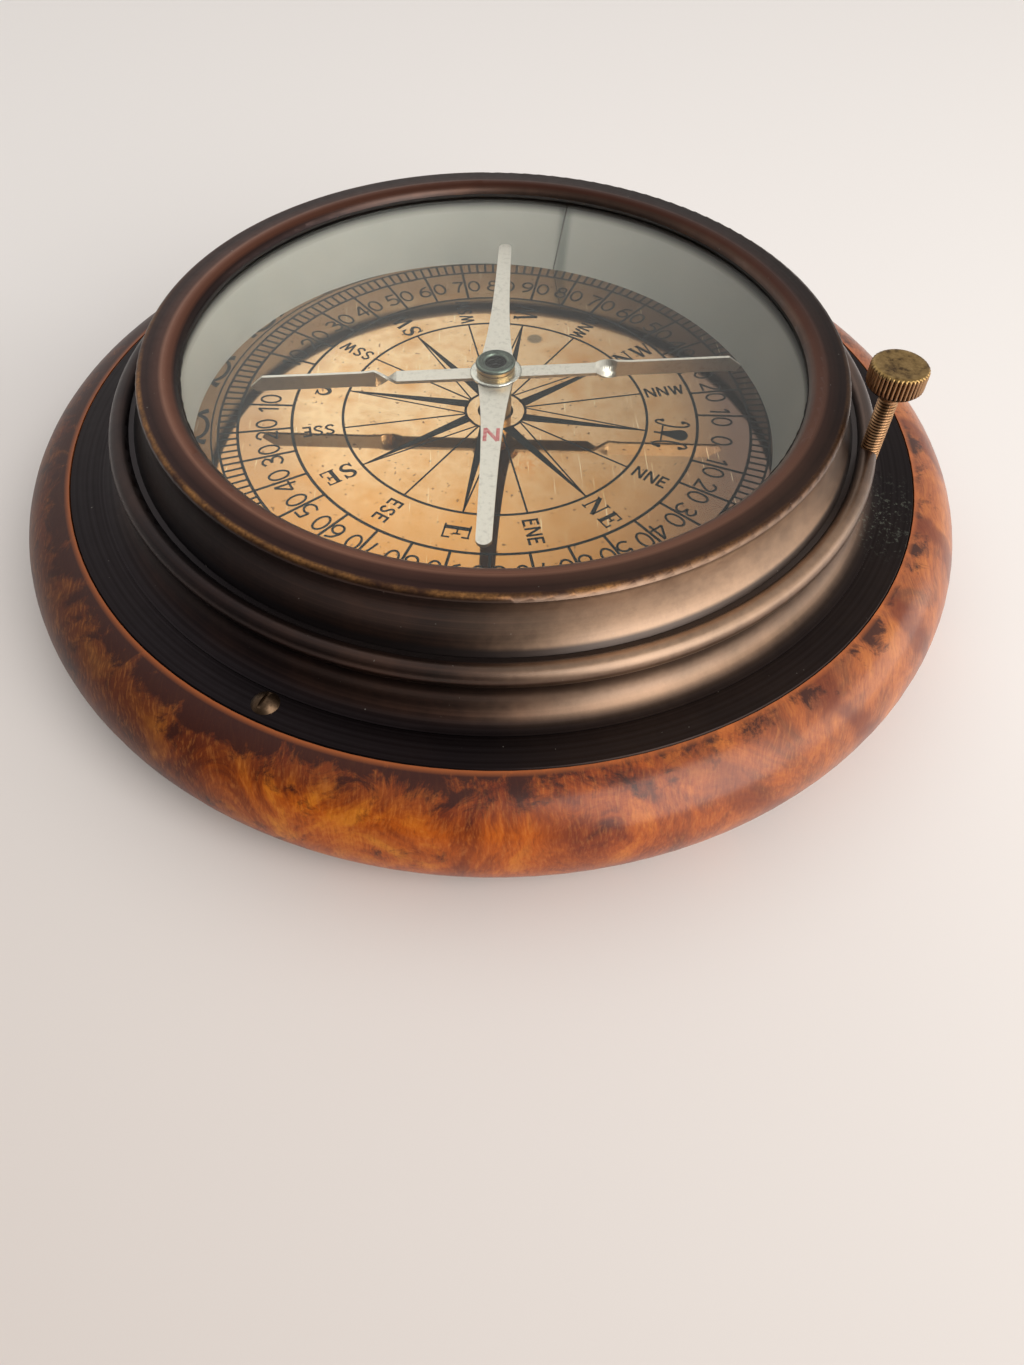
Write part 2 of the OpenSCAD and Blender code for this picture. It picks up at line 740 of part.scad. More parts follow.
// Thumbscrew with a straight-knurled head
module thumbscrew() {
    edge = 0.35;
    under = 0.85;
    over_r = head_r + 0.1;
    head_top_z = head_z + head_h;
    color("darkgoldenrod")
        stop_side() translate([screw_at_r, 0, 0])
            difference() {
                union() {
                    tube(shank_r, 0, shank_low_z + 0.02, head_z);
                    translate([0, 0, head_z - neck_h])
                        cylinder(r1 = shank_r, r2 = head_r - 1.2, h = neck_h, $fn = 64);
                    intersection() {
                        translate([0, 0, head_z]) linear_extrude(height = head_h) knurl_outline();
                        union() {
                            translate([0, 0, head_z - solid])
                                cylinder(r1 = head_r - under, r2 = over_r, h = under + 0.1, $fn = 64);
                            tube(over_r, 0, head_z + under, head_top_z - edge);
                            translate([0, 0, head_top_z - edge])
                                cylinder(r1 = over_r, r2 = head_r - edge - 0.1, h = edge + solid, $fn = 64);
                        }
                    }
                }
                translate([0, 0, shank_low_z - 1])
                    cylinder(r = tip_stem_r + turn_gap, h = tip_stem_h + 1.2, $fn = 48);
            }
}

wood_base();
base_felt();
case_ring();
case_pan();
flange_screws();
bezel_ring();
glass_pane();
glass_seal();
wall_liner();
dial_plate();
pivot_post();
post_screw();
pivot_pin();
needle();
cap_washer();
cap_collar();
cap_top();
cap_jewel();
lifter_sleeve();
lock_lever();
lever_bracket();
bracket_screws();
lever_pin();
thrust_tip();
thumbscrew();
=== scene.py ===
"""Looks of a desk marine compass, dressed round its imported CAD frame. Metres, +Z up, front toward -Y."""

import math

import bmesh
import bpy
import numpy as np
from mathutils import Matrix, Vector


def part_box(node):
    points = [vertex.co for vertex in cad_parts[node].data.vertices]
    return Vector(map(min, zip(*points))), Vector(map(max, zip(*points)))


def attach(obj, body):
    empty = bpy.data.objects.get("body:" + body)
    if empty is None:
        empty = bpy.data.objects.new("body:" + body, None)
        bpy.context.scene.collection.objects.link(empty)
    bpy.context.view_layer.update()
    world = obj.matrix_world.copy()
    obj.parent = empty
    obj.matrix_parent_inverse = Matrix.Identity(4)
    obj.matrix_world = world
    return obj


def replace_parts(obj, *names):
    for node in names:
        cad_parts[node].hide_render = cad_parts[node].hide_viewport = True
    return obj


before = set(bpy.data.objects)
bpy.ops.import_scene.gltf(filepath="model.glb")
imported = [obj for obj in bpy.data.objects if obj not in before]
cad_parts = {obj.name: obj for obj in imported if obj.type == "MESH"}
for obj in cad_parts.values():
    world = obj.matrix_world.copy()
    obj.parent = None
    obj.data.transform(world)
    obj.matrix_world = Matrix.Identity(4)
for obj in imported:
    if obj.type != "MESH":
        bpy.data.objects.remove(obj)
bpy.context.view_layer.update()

MM = 0.001


# Camera: a phone's wide lens, held over the front edge and looking down at the dial

CAMERA_AT_MM = (-3.2, -134.3, 124.45)
CAMERA_DOWN, CAMERA_RIGHT, CAMERA_ROLL = 52.299, 3.077, 1.730
FOCAL_PX, LONG_SIDE_PX, SENSOR_MM = 1000.0, 1365.0, 36.0


def aim_camera():
    """Forward comes from the two angles, right is level, and both turn about forward by the roll."""
    down, right, roll = (math.radians(a) for a in (CAMERA_DOWN, CAMERA_RIGHT, CAMERA_ROLL))
    ahead = Vector((math.sin(right) * math.cos(down), math.cos(right) * math.cos(down), -math.sin(down)))
    level = Vector((math.cos(right), -math.sin(right), 0.0))
    over = level.cross(ahead)
    side = level * math.cos(roll) + over * math.sin(roll)
    up = over * math.cos(roll) - level * math.sin(roll)
    lens = bpy.data.cameras.new("camera")
    lens.sensor_width = SENSOR_MM
    lens.lens = FOCAL_PX / LONG_SIDE_PX * SENSOR_MM
    lens.clip_start, lens.clip_end = 0.01, 20.0
    camera = bpy.data.objects.new("camera", lens)
    turn = Matrix((side, up, -ahead)).transposed().to_4x4()
    camera.matrix_world = Matrix.Translation(Vector(CAMERA_AT_MM) * MM) @ turn
    bpy.context.scene.collection.objects.link(camera)
    bpy.context.scene.camera = camera


aim_camera()


# Places shared with the solids, in millimetres. Angles are in degrees.

DIAL_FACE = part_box("dial_plate")[1][2] / MM
GLASS_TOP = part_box("glass_pane")[1][2] / MM
GLASS_THICK = 1.6
SCREW_FOOT, SCREW_TOP = (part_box("thumbscrew")[k][2] / MM for k in (0, 1))
SCREW_OUT, SCREW_DIRECTION = 58.3, -16.0
SCREW_X, SCREW_Y = (SCREW_OUT * side(math.radians(SCREW_DIRECTION)) for side in (math.cos, math.sin))
HEAD_FROM = SCREW_TOP - 3.9
NORTH = -12.5
NEEDLE_NORTH, NEEDLE_LEAN = -93.7, 2.5
PIVOT_Z, PLATE_OVER_PIVOT = 30.15, -0.70


# Materials

COLOURS = {"data_type": "RGBA"}
SMOOTH = {"interpolation_type": "SMOOTHSTEP"}
# What the numbers of a row are, to a share and to a factor
SHARE = ("Value", "From Min", "From Max", "To Max")
FACTOR = ("Value", "From Min", "From Max", "To Min", "To Max")


def linear(code):
    """An sRGB hex colour as the linear colour that shaders take."""
    c = np.array([int(code[i:i + 2], 16) for i in (1, 3, 5)]) / 255
    return (*np.where(c <= 0.04045, c / 12.92, ((c + 0.055) / 1.055) ** 2.4).tolist(), 1.0)


def add(mat, kind, inputs=None, stops=None, **settings):
    """Adds a shader node. An input takes a node's first output, a socket, a hex colour or a number."""
    node = mat.node_tree.nodes.new("ShaderNode" + kind)
    for key, value in settings.items():
        setattr(node, key, value)
    for at, code in (stops or [])[2:]:
        node.color_ramp.elements.new(at)
    for point, (at, code) in zip(node.color_ramp.elements if stops else [], stops or []):
        point.position, point.color = at, linear(code)
    sockets = [s for s in node.inputs if s.enabled]
    for key, value in (inputs or {}).items():
        into = sockets[key] if isinstance(key, int) else next(s for s in sockets if s.name == key)
        if isinstance(value, bpy.types.Node):
            value = next(s for s in value.outputs if s.enabled)
        if isinstance(value, bpy.types.NodeSocket):
            mat.node_tree.links.new(value, into)
        else:
            into.default_value = linear(value) if isinstance(value, str) else value
    return node


def start(name):
    """An empty material, and the place on the piece in millimetres."""
    mat = bpy.data.materials.new(name)
    mat.use_nodes = True
    mat.node_tree.nodes.clear()
    at = add(mat, "TexCoord").outputs["Object"]
    return mat, add(mat, "VectorMath", {0: at, "Scale": 1 / MM}, operation="SCALE")


def round_axis(mat, at):
    """The x, y and z of a place, and its distance from the compass's axis."""
    flat = add(mat, "VectorMath", {0: at, 1: (1.0, 1.0, 0.0)}, operation="MULTIPLY")
    return *add(mat, "SeparateXYZ", {0: at}).outputs, add(mat, "VectorMath", {0: flat}, operation="LENGTH")


def coats(mat, body, *rows):
    """Lays colours over a body, one after another. A row is the share that is covered, and the colour.

    The share is a node, or what is read, where it begins, where it is full, and how much it is then."""
    for share, colour in rows:
        if isinstance(share, tuple):
            share = add(mat, "MapRange", dict(zip(SHARE, share)))
        body = add(mat, "Mix", {"Factor": share, "A": body, "B": colour}, **COLOURS)
    return body


def lessen(mat, share, *rows):
    """Multiplies a share by factors. Each is a node, or what is read, two readings and the factor at each."""
    for factor in rows:
        if isinstance(factor, tuple):
            factor = add(mat, "MapRange", dict(zip(FACTOR, factor)))
        share = add(mat, "Math", {0: share, 1: factor}, operation="MULTIPLY")
    return share


def finish(mat, shader):
    add(mat, "OutputMaterial", {"Surface": shader})
    return mat


BEAD_JOINT_R, BEAD_JOINT_Z = 55.8, 27.9
CORNER_R, CORNER_Z = 52.95, 35.95
CORROSION_AT = (58.5, -22.0, 20.0)


def brown_bronzed_brass():
    """Cast brass, turned, bronzed brown with a chemical wash and lacquered.

    The eye sees a near-black brown with a soft gloss, fine rings from the lathe, a redder band round the
    opening, gold where the outer corner is rubbed, and a little dust and pale corrosion on the flange.
    Painted
    light: a lighter metal on the right that is partly a painted highlight, painted shade in the crease above
    the bead, under the bead and on the left side, and on the bezel's top a painted highlight along the ridge
    and painted dark reflections."""
    mat, at = start("bronzed_turned_brass")
    x, y, z, far = round_axis(mat, at)
    # lathe rings 0.5 mm apart
    section = add(mat, "CombineXYZ", {"X": far, "Z": z})
    rings = add(mat, "TexNoise", {"Vector": section, "Scale": 1 / 0.5, "Detail": 3.0, "Roughness": 0.6})
    # uneven wash in clouds 12 mm across, mottled in spots of 1.6 mm
    wash = add(mat, "TexNoise", {"Vector": at, "Scale": 1 / 12.0, "Detail": 5.0, "Roughness": 0.62})
    spots = add(mat, "TexNoise", {"Vector": at, "Scale": 1 / 1.6, "Detail": 5.0, "Roughness": 0.7})
    body = add(mat, "ValToRGB", {"Fac": wash}, stops=[
        (0.32, "#231610"), (0.52, "#38231a"), (0.72, "#4e3325")])
    # rubbed and lit side: lighter metal on the right, partly rubbed thin and partly a painted highlight
    # where the window's reflection falls; less so as each row says
    rubbed_and_lit = add(mat, "MapRange", dict(zip(SHARE, (x, -10.0, 20.0, 0.86))), **SMOOTH)
    rubbed_and_lit = lessen(
        mat, rubbed_and_lit,
        (wash, 0.2, 0.6, 0.6, 1.0),       # between the clouds
        (z, 27.6, 28.6, 0.48, 1.0),       # from the bead down
        (y, -36.0, -16.0, 1.0, 0.1),      # away from the front
        (x, 18.0, 42.0, 1.0, 0.72),       # at the far right
        (z, 34.6, 35.3, 1.0, 0.4),        # on the bezel's edge
        (spots, 0.35, 0.65, 0.86, 1.14))
    # painted shade in the crease between bead and wall, and under the bead
    off = add(mat, "CombineXYZ", {"X": far, "Y": z})
    off = add(mat, "VectorMath", {0: off, 1: (BEAD_JOINT_R, BEAD_JOINT_Z, 0.0)}, operation="DISTANCE")
    crease_shade = add(mat, "MapRange", dict(zip(SHARE, (off, 1.25, 0.55, 0.85))), **SMOOTH)
    under_bead_shade = add(mat, "MapRange", dict(zip(SHARE, (z, 22.8, 24.6, 0.75))))
    under_bead_shade = lessen(mat, under_bead_shade, (z, 25.9, 25.3))
    # left side, away from the lamps: painted shade, the wash made blue-black
    left_side = add(mat, "MapRange", {"Value": x, "From Min": -6.0, "From Max": -38.0}, **SMOOTH)
    left_shade = add(mat, "Math", {0: left_side, 1: 0.7}, operation="MULTIPLY")
    # top of the bezel: bands from the opening out to the corner, paler at the front left. The pale band about
    # 49.6 mm out is a painted highlight along the ridge, and the dark outer bands a painted dark reflection
    across = add(mat, "MapRange", {"Value": far, "From Min": 47.0, "From Max": 53.6})
    bands = add(mat, "ValToRGB", {"Fac": across}, stops=[
        (0.0, "#2f1b15"), (0.12, "#684334"), (0.30, "#734c3d"), (0.39, "#7e5a4b"), (0.47, "#4c332c"),
        (0.70, "#2c1d1b"), (0.90, "#372523")])
    fade = add(mat, "Math", {0: x, 1: y})
    fade = add(mat, "MapRange", {"Value": fade, "From Min": 60.0, "From Max": -20.0})
    fade = add(mat, "Mix", {"Factor": fade, "A": "#968a8c", "B": "#ffffff"}, **COLOURS)
    bands = add(mat, "Mix", {"Factor": 1.0, "A": bands, "B": fade}, blend_type="MULTIPLY", **COLOURS)
    # flange: darker, because it is never rubbed
    flange = add(mat, "MapRange", dict(zip(SHARE, (z, 21.2, 20.1, 0.92))), **SMOOTH)
    ringed = add(mat, "MapRange", {"Value": rings, "From Min": 0.45, "From Max": 0.75})
    ringed = add(mat, "Mix", {"Factor": ringed, "A": "#1b1719", "B": "#2d2a2d"}, **COLOURS)
    # rubbed corner: brass within 0.7 mm of its line, in patches of 9 mm cut up by scratches of 0.4 mm
    out = add(mat, "Math", {0: far, 1: CORNER_R}, operation="SUBTRACT")
    rise = add(mat, "Math", {0: z, 1: CORNER_Z}, operation="SUBTRACT")
    off = add(mat, "VectorMath", {0: add(mat, "CombineXYZ", {"X": out, "Y": rise})}, operation="LENGTH")
    worn = add(mat, "MapRange", {"Value": off, "From Min": 0.70, "From Max": 0.10}, **SMOOTH)
    patch = add(mat, "TexNoise", {"Vector": at, "Scale": 1 / 9.0, "Detail": 4.0, "Roughness": 0.7})
    scuff = add(mat, "TexNoise", {"Vector": at, "Scale": 1 / 0.4, "Detail": 2.0})
    worn = lessen(
        mat, worn, (patch, 0.34, 0.66), (scuff, 0.30, 0.70, 0.35),
        (y, 20.0, -15.0, 0.12, 0.9),      # most in front
        (x, 8.0, 38.0, 1.0, 0.3))         # less at the right
    # dust: pale specks 0.3 mm across, far apart
    dust = add(mat, "TexNoise", {"Vector": at, "Scale": 1 / 0.55, "Detail": 1.0})
    # pale corrosion on the flange, beside the thumbscrew: grains of 0.7 mm that end 11 mm from its middle
    away = add(mat, "VectorMath", {0: at, 1: CORROSION_AT}, operation="DISTANCE")
    bloom = add(mat, "TexNoise", {"Vector": at, "Scale": 1 / 0.7, "Detail": 3.0, "Roughness": 0.7})
    bloom = add(mat, "MapRange", dict(zip(SHARE, (bloom, 0.56, 0.70, 0.55))))
    bloom = lessen(mat, bloom, (away, 11.0, 2.0))
    body = coats(
        mat, body, ((rings, 0.42, 0.72, 0.35), "#6b4e40"), (rubbed_and_lit, "#bb9c80"), (crease_shade, "#1a1213"),
        (under_bead_shade, "#33231c"), (left_shade, "#17151a"), ((z, 35.5, 35.9, 0.85), bands), (flange, ringed),
        (worn, "#b07e48"), ((dust, 0.80, 0.84, 0.45), "#a8a49c"), (bloom, "#8d9486"))
    # roughness: 0.34 to 0.44 in spots, and up to 0.16 more where it is rubbed and lit
    gloss = add(mat, "MapRange", {
        "Value": spots, "From Min": 0.3, "From Max": 0.7, "To Min": 0.34, "To Max": 0.44})
    gloss = add(mat, "Math", {0: rubbed_and_lit, 1: 0.16, 2: gloss}, operation="MULTIPLY_ADD")
    grain = add(mat, "Bump", {"Height": rings, "Distance": 0.02 * MM, "Strength": 0.6})
    # lacquer: full on what stands up, worn off the flange and the bezel's top, thin on the left
    lacquer = add(mat, "MapRange", dict(zip(SHARE, (z, 20.2, 22.5, 0.7))))
    lacquer = lessen(mat, lacquer, (z, 35.2, 35.9, 1.0, 0.12), (left_side, 0.0, 1.0, 1.0, 0.25))
    return finish(mat, add(mat, "BsdfPrincipled", {
        "Base Color": body, "Metallic": 1.0, "Roughness": gloss, "Normal": grain,
        "Coat Weight": lacquer, "Coat Roughness": 0.32}))


FIBRE_WIDE, FIBRE_LONG, FIBRE_DEEP = 0.35, 3.0, 1.1


def stained_burr_wood():
    """Close-grained hardwood with burr figure, turned, stained red-brown and oiled.

    The eye sees orange lights through a satin skin, dark blotches near the inner edge, fine fibres across
    the round nose, and curved dark bands on the right. Darker toward the left is a painted shade, and the
    paler tan toward the right is partly a painted sheen on the lit side."""
    mat, at = start("stained_turned_hardwood")
    x, y, z, far = round_axis(mat, at)
    # figure in clouds 14 mm across, broken up down to half a millimetre
    figure = add(mat, "TexNoise", {
        "Vector": at, "Scale": 1 / 14.0, "Detail": 8.0, "Roughness": 0.68, "Distortion": 1.2})
    body = add(mat, "ValToRGB", {"Fac": figure}, stops=[
        (0.34, "#531c08"), (0.44, "#7f340d"), (0.52, "#9f4a12"), (0.62, "#bc671f"), (0.74, "#c9803a")])
    # clear orange sapwood under the nose in front, up to a wavy edge
    sway = add(mat, "Math", {0: figure, 1: 30.0, 2: x}, operation="MULTIPLY_ADD")
    drop = add(mat, "Math", {0: figure, 1: -7.0, 2: z}, operation="MULTIPLY_ADD")
    clear = add(mat, "MapRange", {"Value": sway, "From Min": -32.0, "From Max": -10.0})
    clear = lessen(mat, clear, (sway, 20.5, 18.0), (drop, 14.6, 12.6), (y, -50.0, -60.0, 0.0, 0.85))
    lively = add(mat, "ValToRGB", {"Fac": figure}, stops=[
        (0.36, "#7d3406"), (0.50, "#a9500c"), (0.66, "#c97a20")])
    # fibres set at a slant and a little curly
    curl = add(mat, "TexNoise", {"Vector": at, "Scale": 1 / 9.0, "Detail": 2.0}).outputs["Color"]
    curl = add(mat, "VectorMath", {0: curl, "Scale": 4.0}, operation="SCALE")
    curly = add(mat, "VectorMath", {0: at, 1: curl}, operation="ADD")
    along = add(mat, "Mapping", {
        "Vector": curly, "Rotation": (0.5, 0.3, math.radians(50.0)),
        "Scale": (1 / FIBRE_WIDE, 1 / FIBRE_LONG, 1 / FIBRE_DEEP)})
    fibre = add(mat, "TexNoise", {"Vector": along, "Scale": 1.0, "Detail": 4.0, "Roughness": 0.65})
    # curved growth bands seen on the right: the wave repeats at 0.36 of 42 mm, which is 15 mm
    bands = add(mat, "TexWave", {
        "Vector": curly, "Scale": 1 / 42.0, "Distortion": 6.0, "Detail": 4.0, "Detail Scale": 1.6,
        "Detail Roughness": 0.6}, bands_direction="DIAGONAL")
    bands = add(mat, "MapRange", {"Value": bands, "From Min": 0.72, "From Max": 0.98})
    bands = lessen(mat, bands, (x, 5.0, 45.0, 0.2, 0.7))
    # dark burr blotches 5 mm across with torn edges, thick near the flange and at the left
    blotch = add(mat, "TexNoise", {
        "Vector": curly, "Scale": 1 / 5.0, "Detail": 8.0, "Roughness": 0.72, "Distortion": 0.5})
    for row in ((far, 74.0, 68.2, -0.10, 0.14), (x, 45.0, -30.0, -0.06, 0.085)):
        blotch = add(mat, "Math", {0: blotch, 1: add(mat, "MapRange", dict(zip(FACTOR, row)))})
    body = coats(
        mat, body,
        ((x, 25.0, -50.0, 0.66), "#39130a"),        # painted shade: darker toward the left, away from the lamps
        ((x, 0.0, -62.0, 0.5), "#1d0a05"),
        ((x, 15.0, 45.0, 0.45), "#96603f"),         # paler tan toward the right: partly its tone, partly a painted sheen on the lit side
        (clear, lively),
        ((fibre, 0.50, 0.75, 0.26), "#d58b45"), ((fibre, 0.48, 0.28, 0.42), "#4c1c0a"),
        (bands, "#5f210c"), ((blotch, 0.54, 0.66, 0.92), "#2e0e08"),
        ((far, 68.3, 67.6, 0.55), "#b5622c"))       # paler line at the flange, where the stain is worn
    skin = add(mat, "Bump", {"Height": fibre, "Distance": 0.04 * MM, "Strength": 0.5})
    # oil polish, dry at the left
    polish = add(mat, "MapRange", dict(zip(FACTOR, (x, -40.0, 25.0, 0.05, 0.5))))
    return finish(mat, add(mat, "BsdfPrincipled", {
        "Base Color": body, "Roughness": 0.42, "IOR": 1.5, "Normal": skin,
        "Specular IOR Level": 0.2, "Coat Weight": polish, "Coat Roughness": 0.23}))


GREY_SPOT_AT, ORANGE_STAIN_AT = (7.25, 19.9, DIAL_FACE), (4.5, -13.0, DIAL_FACE)


def lacquered_sheet_brass():
    """Rolled brass sheet, polished and lacquered: the dial.

    The eye sees a golden mirror that goes dull and pinkish toward the rim, with tarnish specks, hairline
    scratches, one grey spot and an orange stain. Browner toward the right and mauve at the right rim is
    partly tarnish and partly a painted dark reflection."""
    mat, at = start("lacquered_sheet_brass")
    x, y, _, far = round_axis(mat, at)
    # tarnish under the lacquer in clouds 10 mm across
    cloud = add(mat, "TexNoise", {"Vector": at, "Scale": 1 / 10.0, "Detail": 4.0, "Roughness": 0.6})
    body = add(mat, "ValToRGB", {"Fac": cloud}, stops=[
        (0.30, "#e6a968"), (0.50, "#f6cd9f"), (0.72, "#dca262")])
    outer = add(mat, "MapRange", dict(zip(SHARE, (far, 29.0, 38.0, 0.7))))
    # specks 0.3 mm across
    specks = add(mat, "TexNoise", {"Vector": at, "Scale": 1 / 0.8, "Detail": 1.0})
    # grey spot 2.4 mm across, toward the back
    spot = add(mat, "VectorMath", {0: at, 1: GREY_SPOT_AT}, operation="DISTANCE")
    # orange stain 7 mm across, in front of the middle, broken up in grains of 1.2 mm
    stain = add(mat, "VectorMath", {0: at, 1: ORANGE_STAIN_AT}, operation="DISTANCE")
    stain = add(mat, "MapRange", {"Value": stain, "From Min": 4.5, "From Max": 1.0})
    broken = add(mat, "TexNoise", {"Vector": at, "Scale": 1 / 1.2, "Detail": 4.0, "Roughness": 0.7})
    stain = lessen(mat, stain, (broken, 0.45, 0.65, 0.0, 0.8))
    # hairline scratches: long thin ridges of noise, drawn 0.12 mm wide so that they show
    slant = add(mat, "Mapping", {
        "Vector": at, "Rotation": (0.0, 0.0, 0.6), "Scale": (1 / 0.35, 1 / 9.0, 1.0)})
    lines = add(mat, "TexNoise", {"Vector": slant, "Scale": 1.0, "Detail": 2.0})
    body = coats(
        mat, body,
        (outer, "#a9805f"),                                      # dull near the rim
        ((y, -2.0, -30.0, 0.7), "#e09a4c"),                      # warmer toward the front
        ((x, -2.0, 32.0, 0.7), "#987352"),                       # browner toward the right: partly tarnish, partly a painted dark reflection
        (lessen(mat, outer, (x, 15.0, 38.0)), "#6f5c5c"),        # mauve at the right rim: partly tarnish, partly a painted dark reflection
        ((specks, 0.70, 0.75, 0.75), "#7a4f28"), ((spot, 1.5, 1.05, 0.8), "#6d6253"), (stain, "#e0903a"),
        ((lines, 0.68, 0.73, 0.5), "#fff0d0"))
    haze = add(mat, "MapRange", {
        "Value": cloud, "From Min": 0.3, "From Max": 0.7, "To Min": 0.035, "To Max": 0.07})
    return finish(mat, add(mat, "BsdfPrincipled", {"Base Color": body, "Metallic": 1.0, "Roughness": haze}))


def metal(name, code, rough, mottle, mottle_code, size):
    """A bare metal: its colour, its roughness, and stains of a second colour in clouds of a size in mm."""
    mat, at = start(name)
    cloud = add(mat, "TexNoise", {"Vector": at, "Scale": 1 / size, "Detail": 4.0, "Roughness": 0.65})
    body = coats(mat, code, ((cloud, 0.45, 0.68, mottle), mottle_code))
    gloss = add(mat, "MapRange", {
        "Value": cloud, "From Min": 0.3, "From Max": 0.7, "To Min": 0.8 * rough, "To Max": 1.25 * rough})
    return finish(mat, add(mat, "BsdfPrincipled", {"Base Color": body, "Metallic": 1.0, "Roughness": gloss}))


def oiled_cap_steel():
    """Turned steel, browned with oil: grey-green, with painted shade in the hollow and painted highlights on
    its rims.
    """
    mat, at = start("oiled_cap_steel")
    cloud = add(mat, "TexNoise", {"Vector": at, "Scale": 1 / 0.6, "Detail": 4.0, "Roughness": 0.65})
    body = coats(mat, "#7f8a80", ((cloud, 0.45, 0.68, 0.45), "#4a524a"))
    # painted shade in the hollow and painted highlights on the two rims, from the axis out to 3.2 mm
    out = add(mat, "MapRange", {"Value": round_axis(mat, at)[3], "From Max": 3.2})
    hollow_shade_rim_highlights = add(mat, "ValToRGB", {"Fac": out}, stops=[
        (0.0, "#303030"), (0.20, "#1a1a1a"), (0.50, "#101010"), (0.57, "#ffffff"), (0.63, "#b5b5b5"),
        (0.84, "#9a9a9a"), (0.91, "#ffffff"), (1.0, "#8a8a8a")])
    body = add(mat, "Mix", {"Factor": 1.0, "A": body, "B": hollow_shade_rim_highlights}, blend_type="MULTIPLY", **COLOURS)
    return finish(mat, add(mat, "BsdfPrincipled", {"Base Color": body, "Metallic": 1.0, "Roughness": 0.32}))


def needle_steel():
    """Sheet steel, nickelled and dulled: pale and faintly warm above, with painted shade below and on its
    upright faces, which are partly dull cut sides.
    """
    mat, at = start("nickelled_sheet_steel")
    cloud = add(mat, "TexNoise", {"Vector": at, "Scale": 1 / 0.8, "Detail": 5.0, "Roughness": 0.7})
    facing = add(mat, "SeparateXYZ", {0: add(mat, "NewGeometry").outputs["Normal"]}).outputs["Z"]
    level = add(mat, "Math", {0: facing}, operation="ABSOLUTE")
    body = coats(
        mat, "#e8dfd6", ((cloud, 0.50, 0.72, 0.4), "#9a9186"),
        ((facing, -0.2, -0.7, 0.95), "#2e3630"),        # painted shade on faces that look down
        ((level, 0.7, 0.3, 0.62), "#736a5a"))           # painted shade on upright faces: the cut sides, partly dull, and the upright blades
    return finish(mat, add(mat, "BsdfPrincipled", {"Base Color": body, "Metallic": 1.0, "Roughness": 0.36}))


def coating(name, code, dark_code, rough, share=0.3, size=3.0, gloss=0.5):
    """A skin that isn't metal: its colour goes over to a darker one in clouds of a size in mm."""
    mat, at = start(name)
    cloud = add(mat, "TexNoise", {"Vector": at, "Scale": 1 / size, "Detail": 4.0, "Roughness": 0.6})
    body = coats(mat, code, ((cloud, 0.35, 0.7, share), dark_code))
    return finish(mat, add(mat, "BsdfPrincipled", {
        "Base Color": body, "Roughness": rough, "Specular IOR Level": gloss}))


# Square to the line from the axis to the liner's joint, which is at 73 degrees
ACROSS_JOINT = (0.956, -0.292, 0.0)


def painted_card():
    """Card strip with a coat of pale grey-green paint: matt, a little grimy, with painted shade along the
    joint and a painted shadow of the lip at its top.
    """
    mat, at = start("painted_card")
    _, y, z, _ = round_axis(mat, at)
    # grime in clouds 8 mm across
    grime = add(mat, "TexNoise", {"Vector": at, "Scale": 1 / 8.0, "Detail": 4.0, "Roughness": 0.6})
    # painted shade along the joint of the two ends at the back: a stripe 2 mm wide
    joint_shade = add(mat, "VectorMath", {0: at, 1: ACROSS_JOINT}, operation="DOT_PRODUCT").outputs["Value"]
    joint_shade = add(mat, "Math", {0: joint_shade}, operation="ABSOLUTE")
    joint_shade = add(mat, "MapRange", dict(zip(SHARE, (joint_shade, 1.7, 0.2, 0.8))), **SMOOTH)
    joint_shade = lessen(mat, joint_shade, add(mat, "Math", {0: y, 1: 0.0}, operation="GREATER_THAN"))
    # painted shadow where the strip goes up behind the lip
    lip_shadow = add(mat, "MapRange", {"Value": z, "From Min": 30.9, "From Max": 32.4}, **SMOOTH)
    body = coats(
        mat, "#8d8b86", ((grime, 0.35, 0.75, 0.35), "#777a75"), (joint_shade, "#4f544f"), (lip_shadow, "#15110f"))
    return finish(mat, add(mat, "BsdfPrincipled", {"Base Color": body, "Roughness": 0.6}))


def baize():
    """Wool baize: dark green, with a nap 0.5 mm long that scatters light at its edges."""
    mat, at = start("green_wool_baize")
    nap = add(mat, "TexNoise", {"Vector": at, "Scale": 1 / 0.5, "Detail": 4.0, "Roughness": 0.7})
    body = add(mat, "ValToRGB", {"Fac": nap}, stops=[(0.3, "#12301d"), (0.7, "#2c5b3a")])
    pile = add(mat, "Bump", {"Height": nap, "Distance": 0.15 * MM, "Strength": 0.8})
    return finish(mat, add(mat, "BsdfPrincipled", {
        "Base Color": body, "Roughness": 0.95, "Normal": pile, "Sheen Weight": 0.4}))


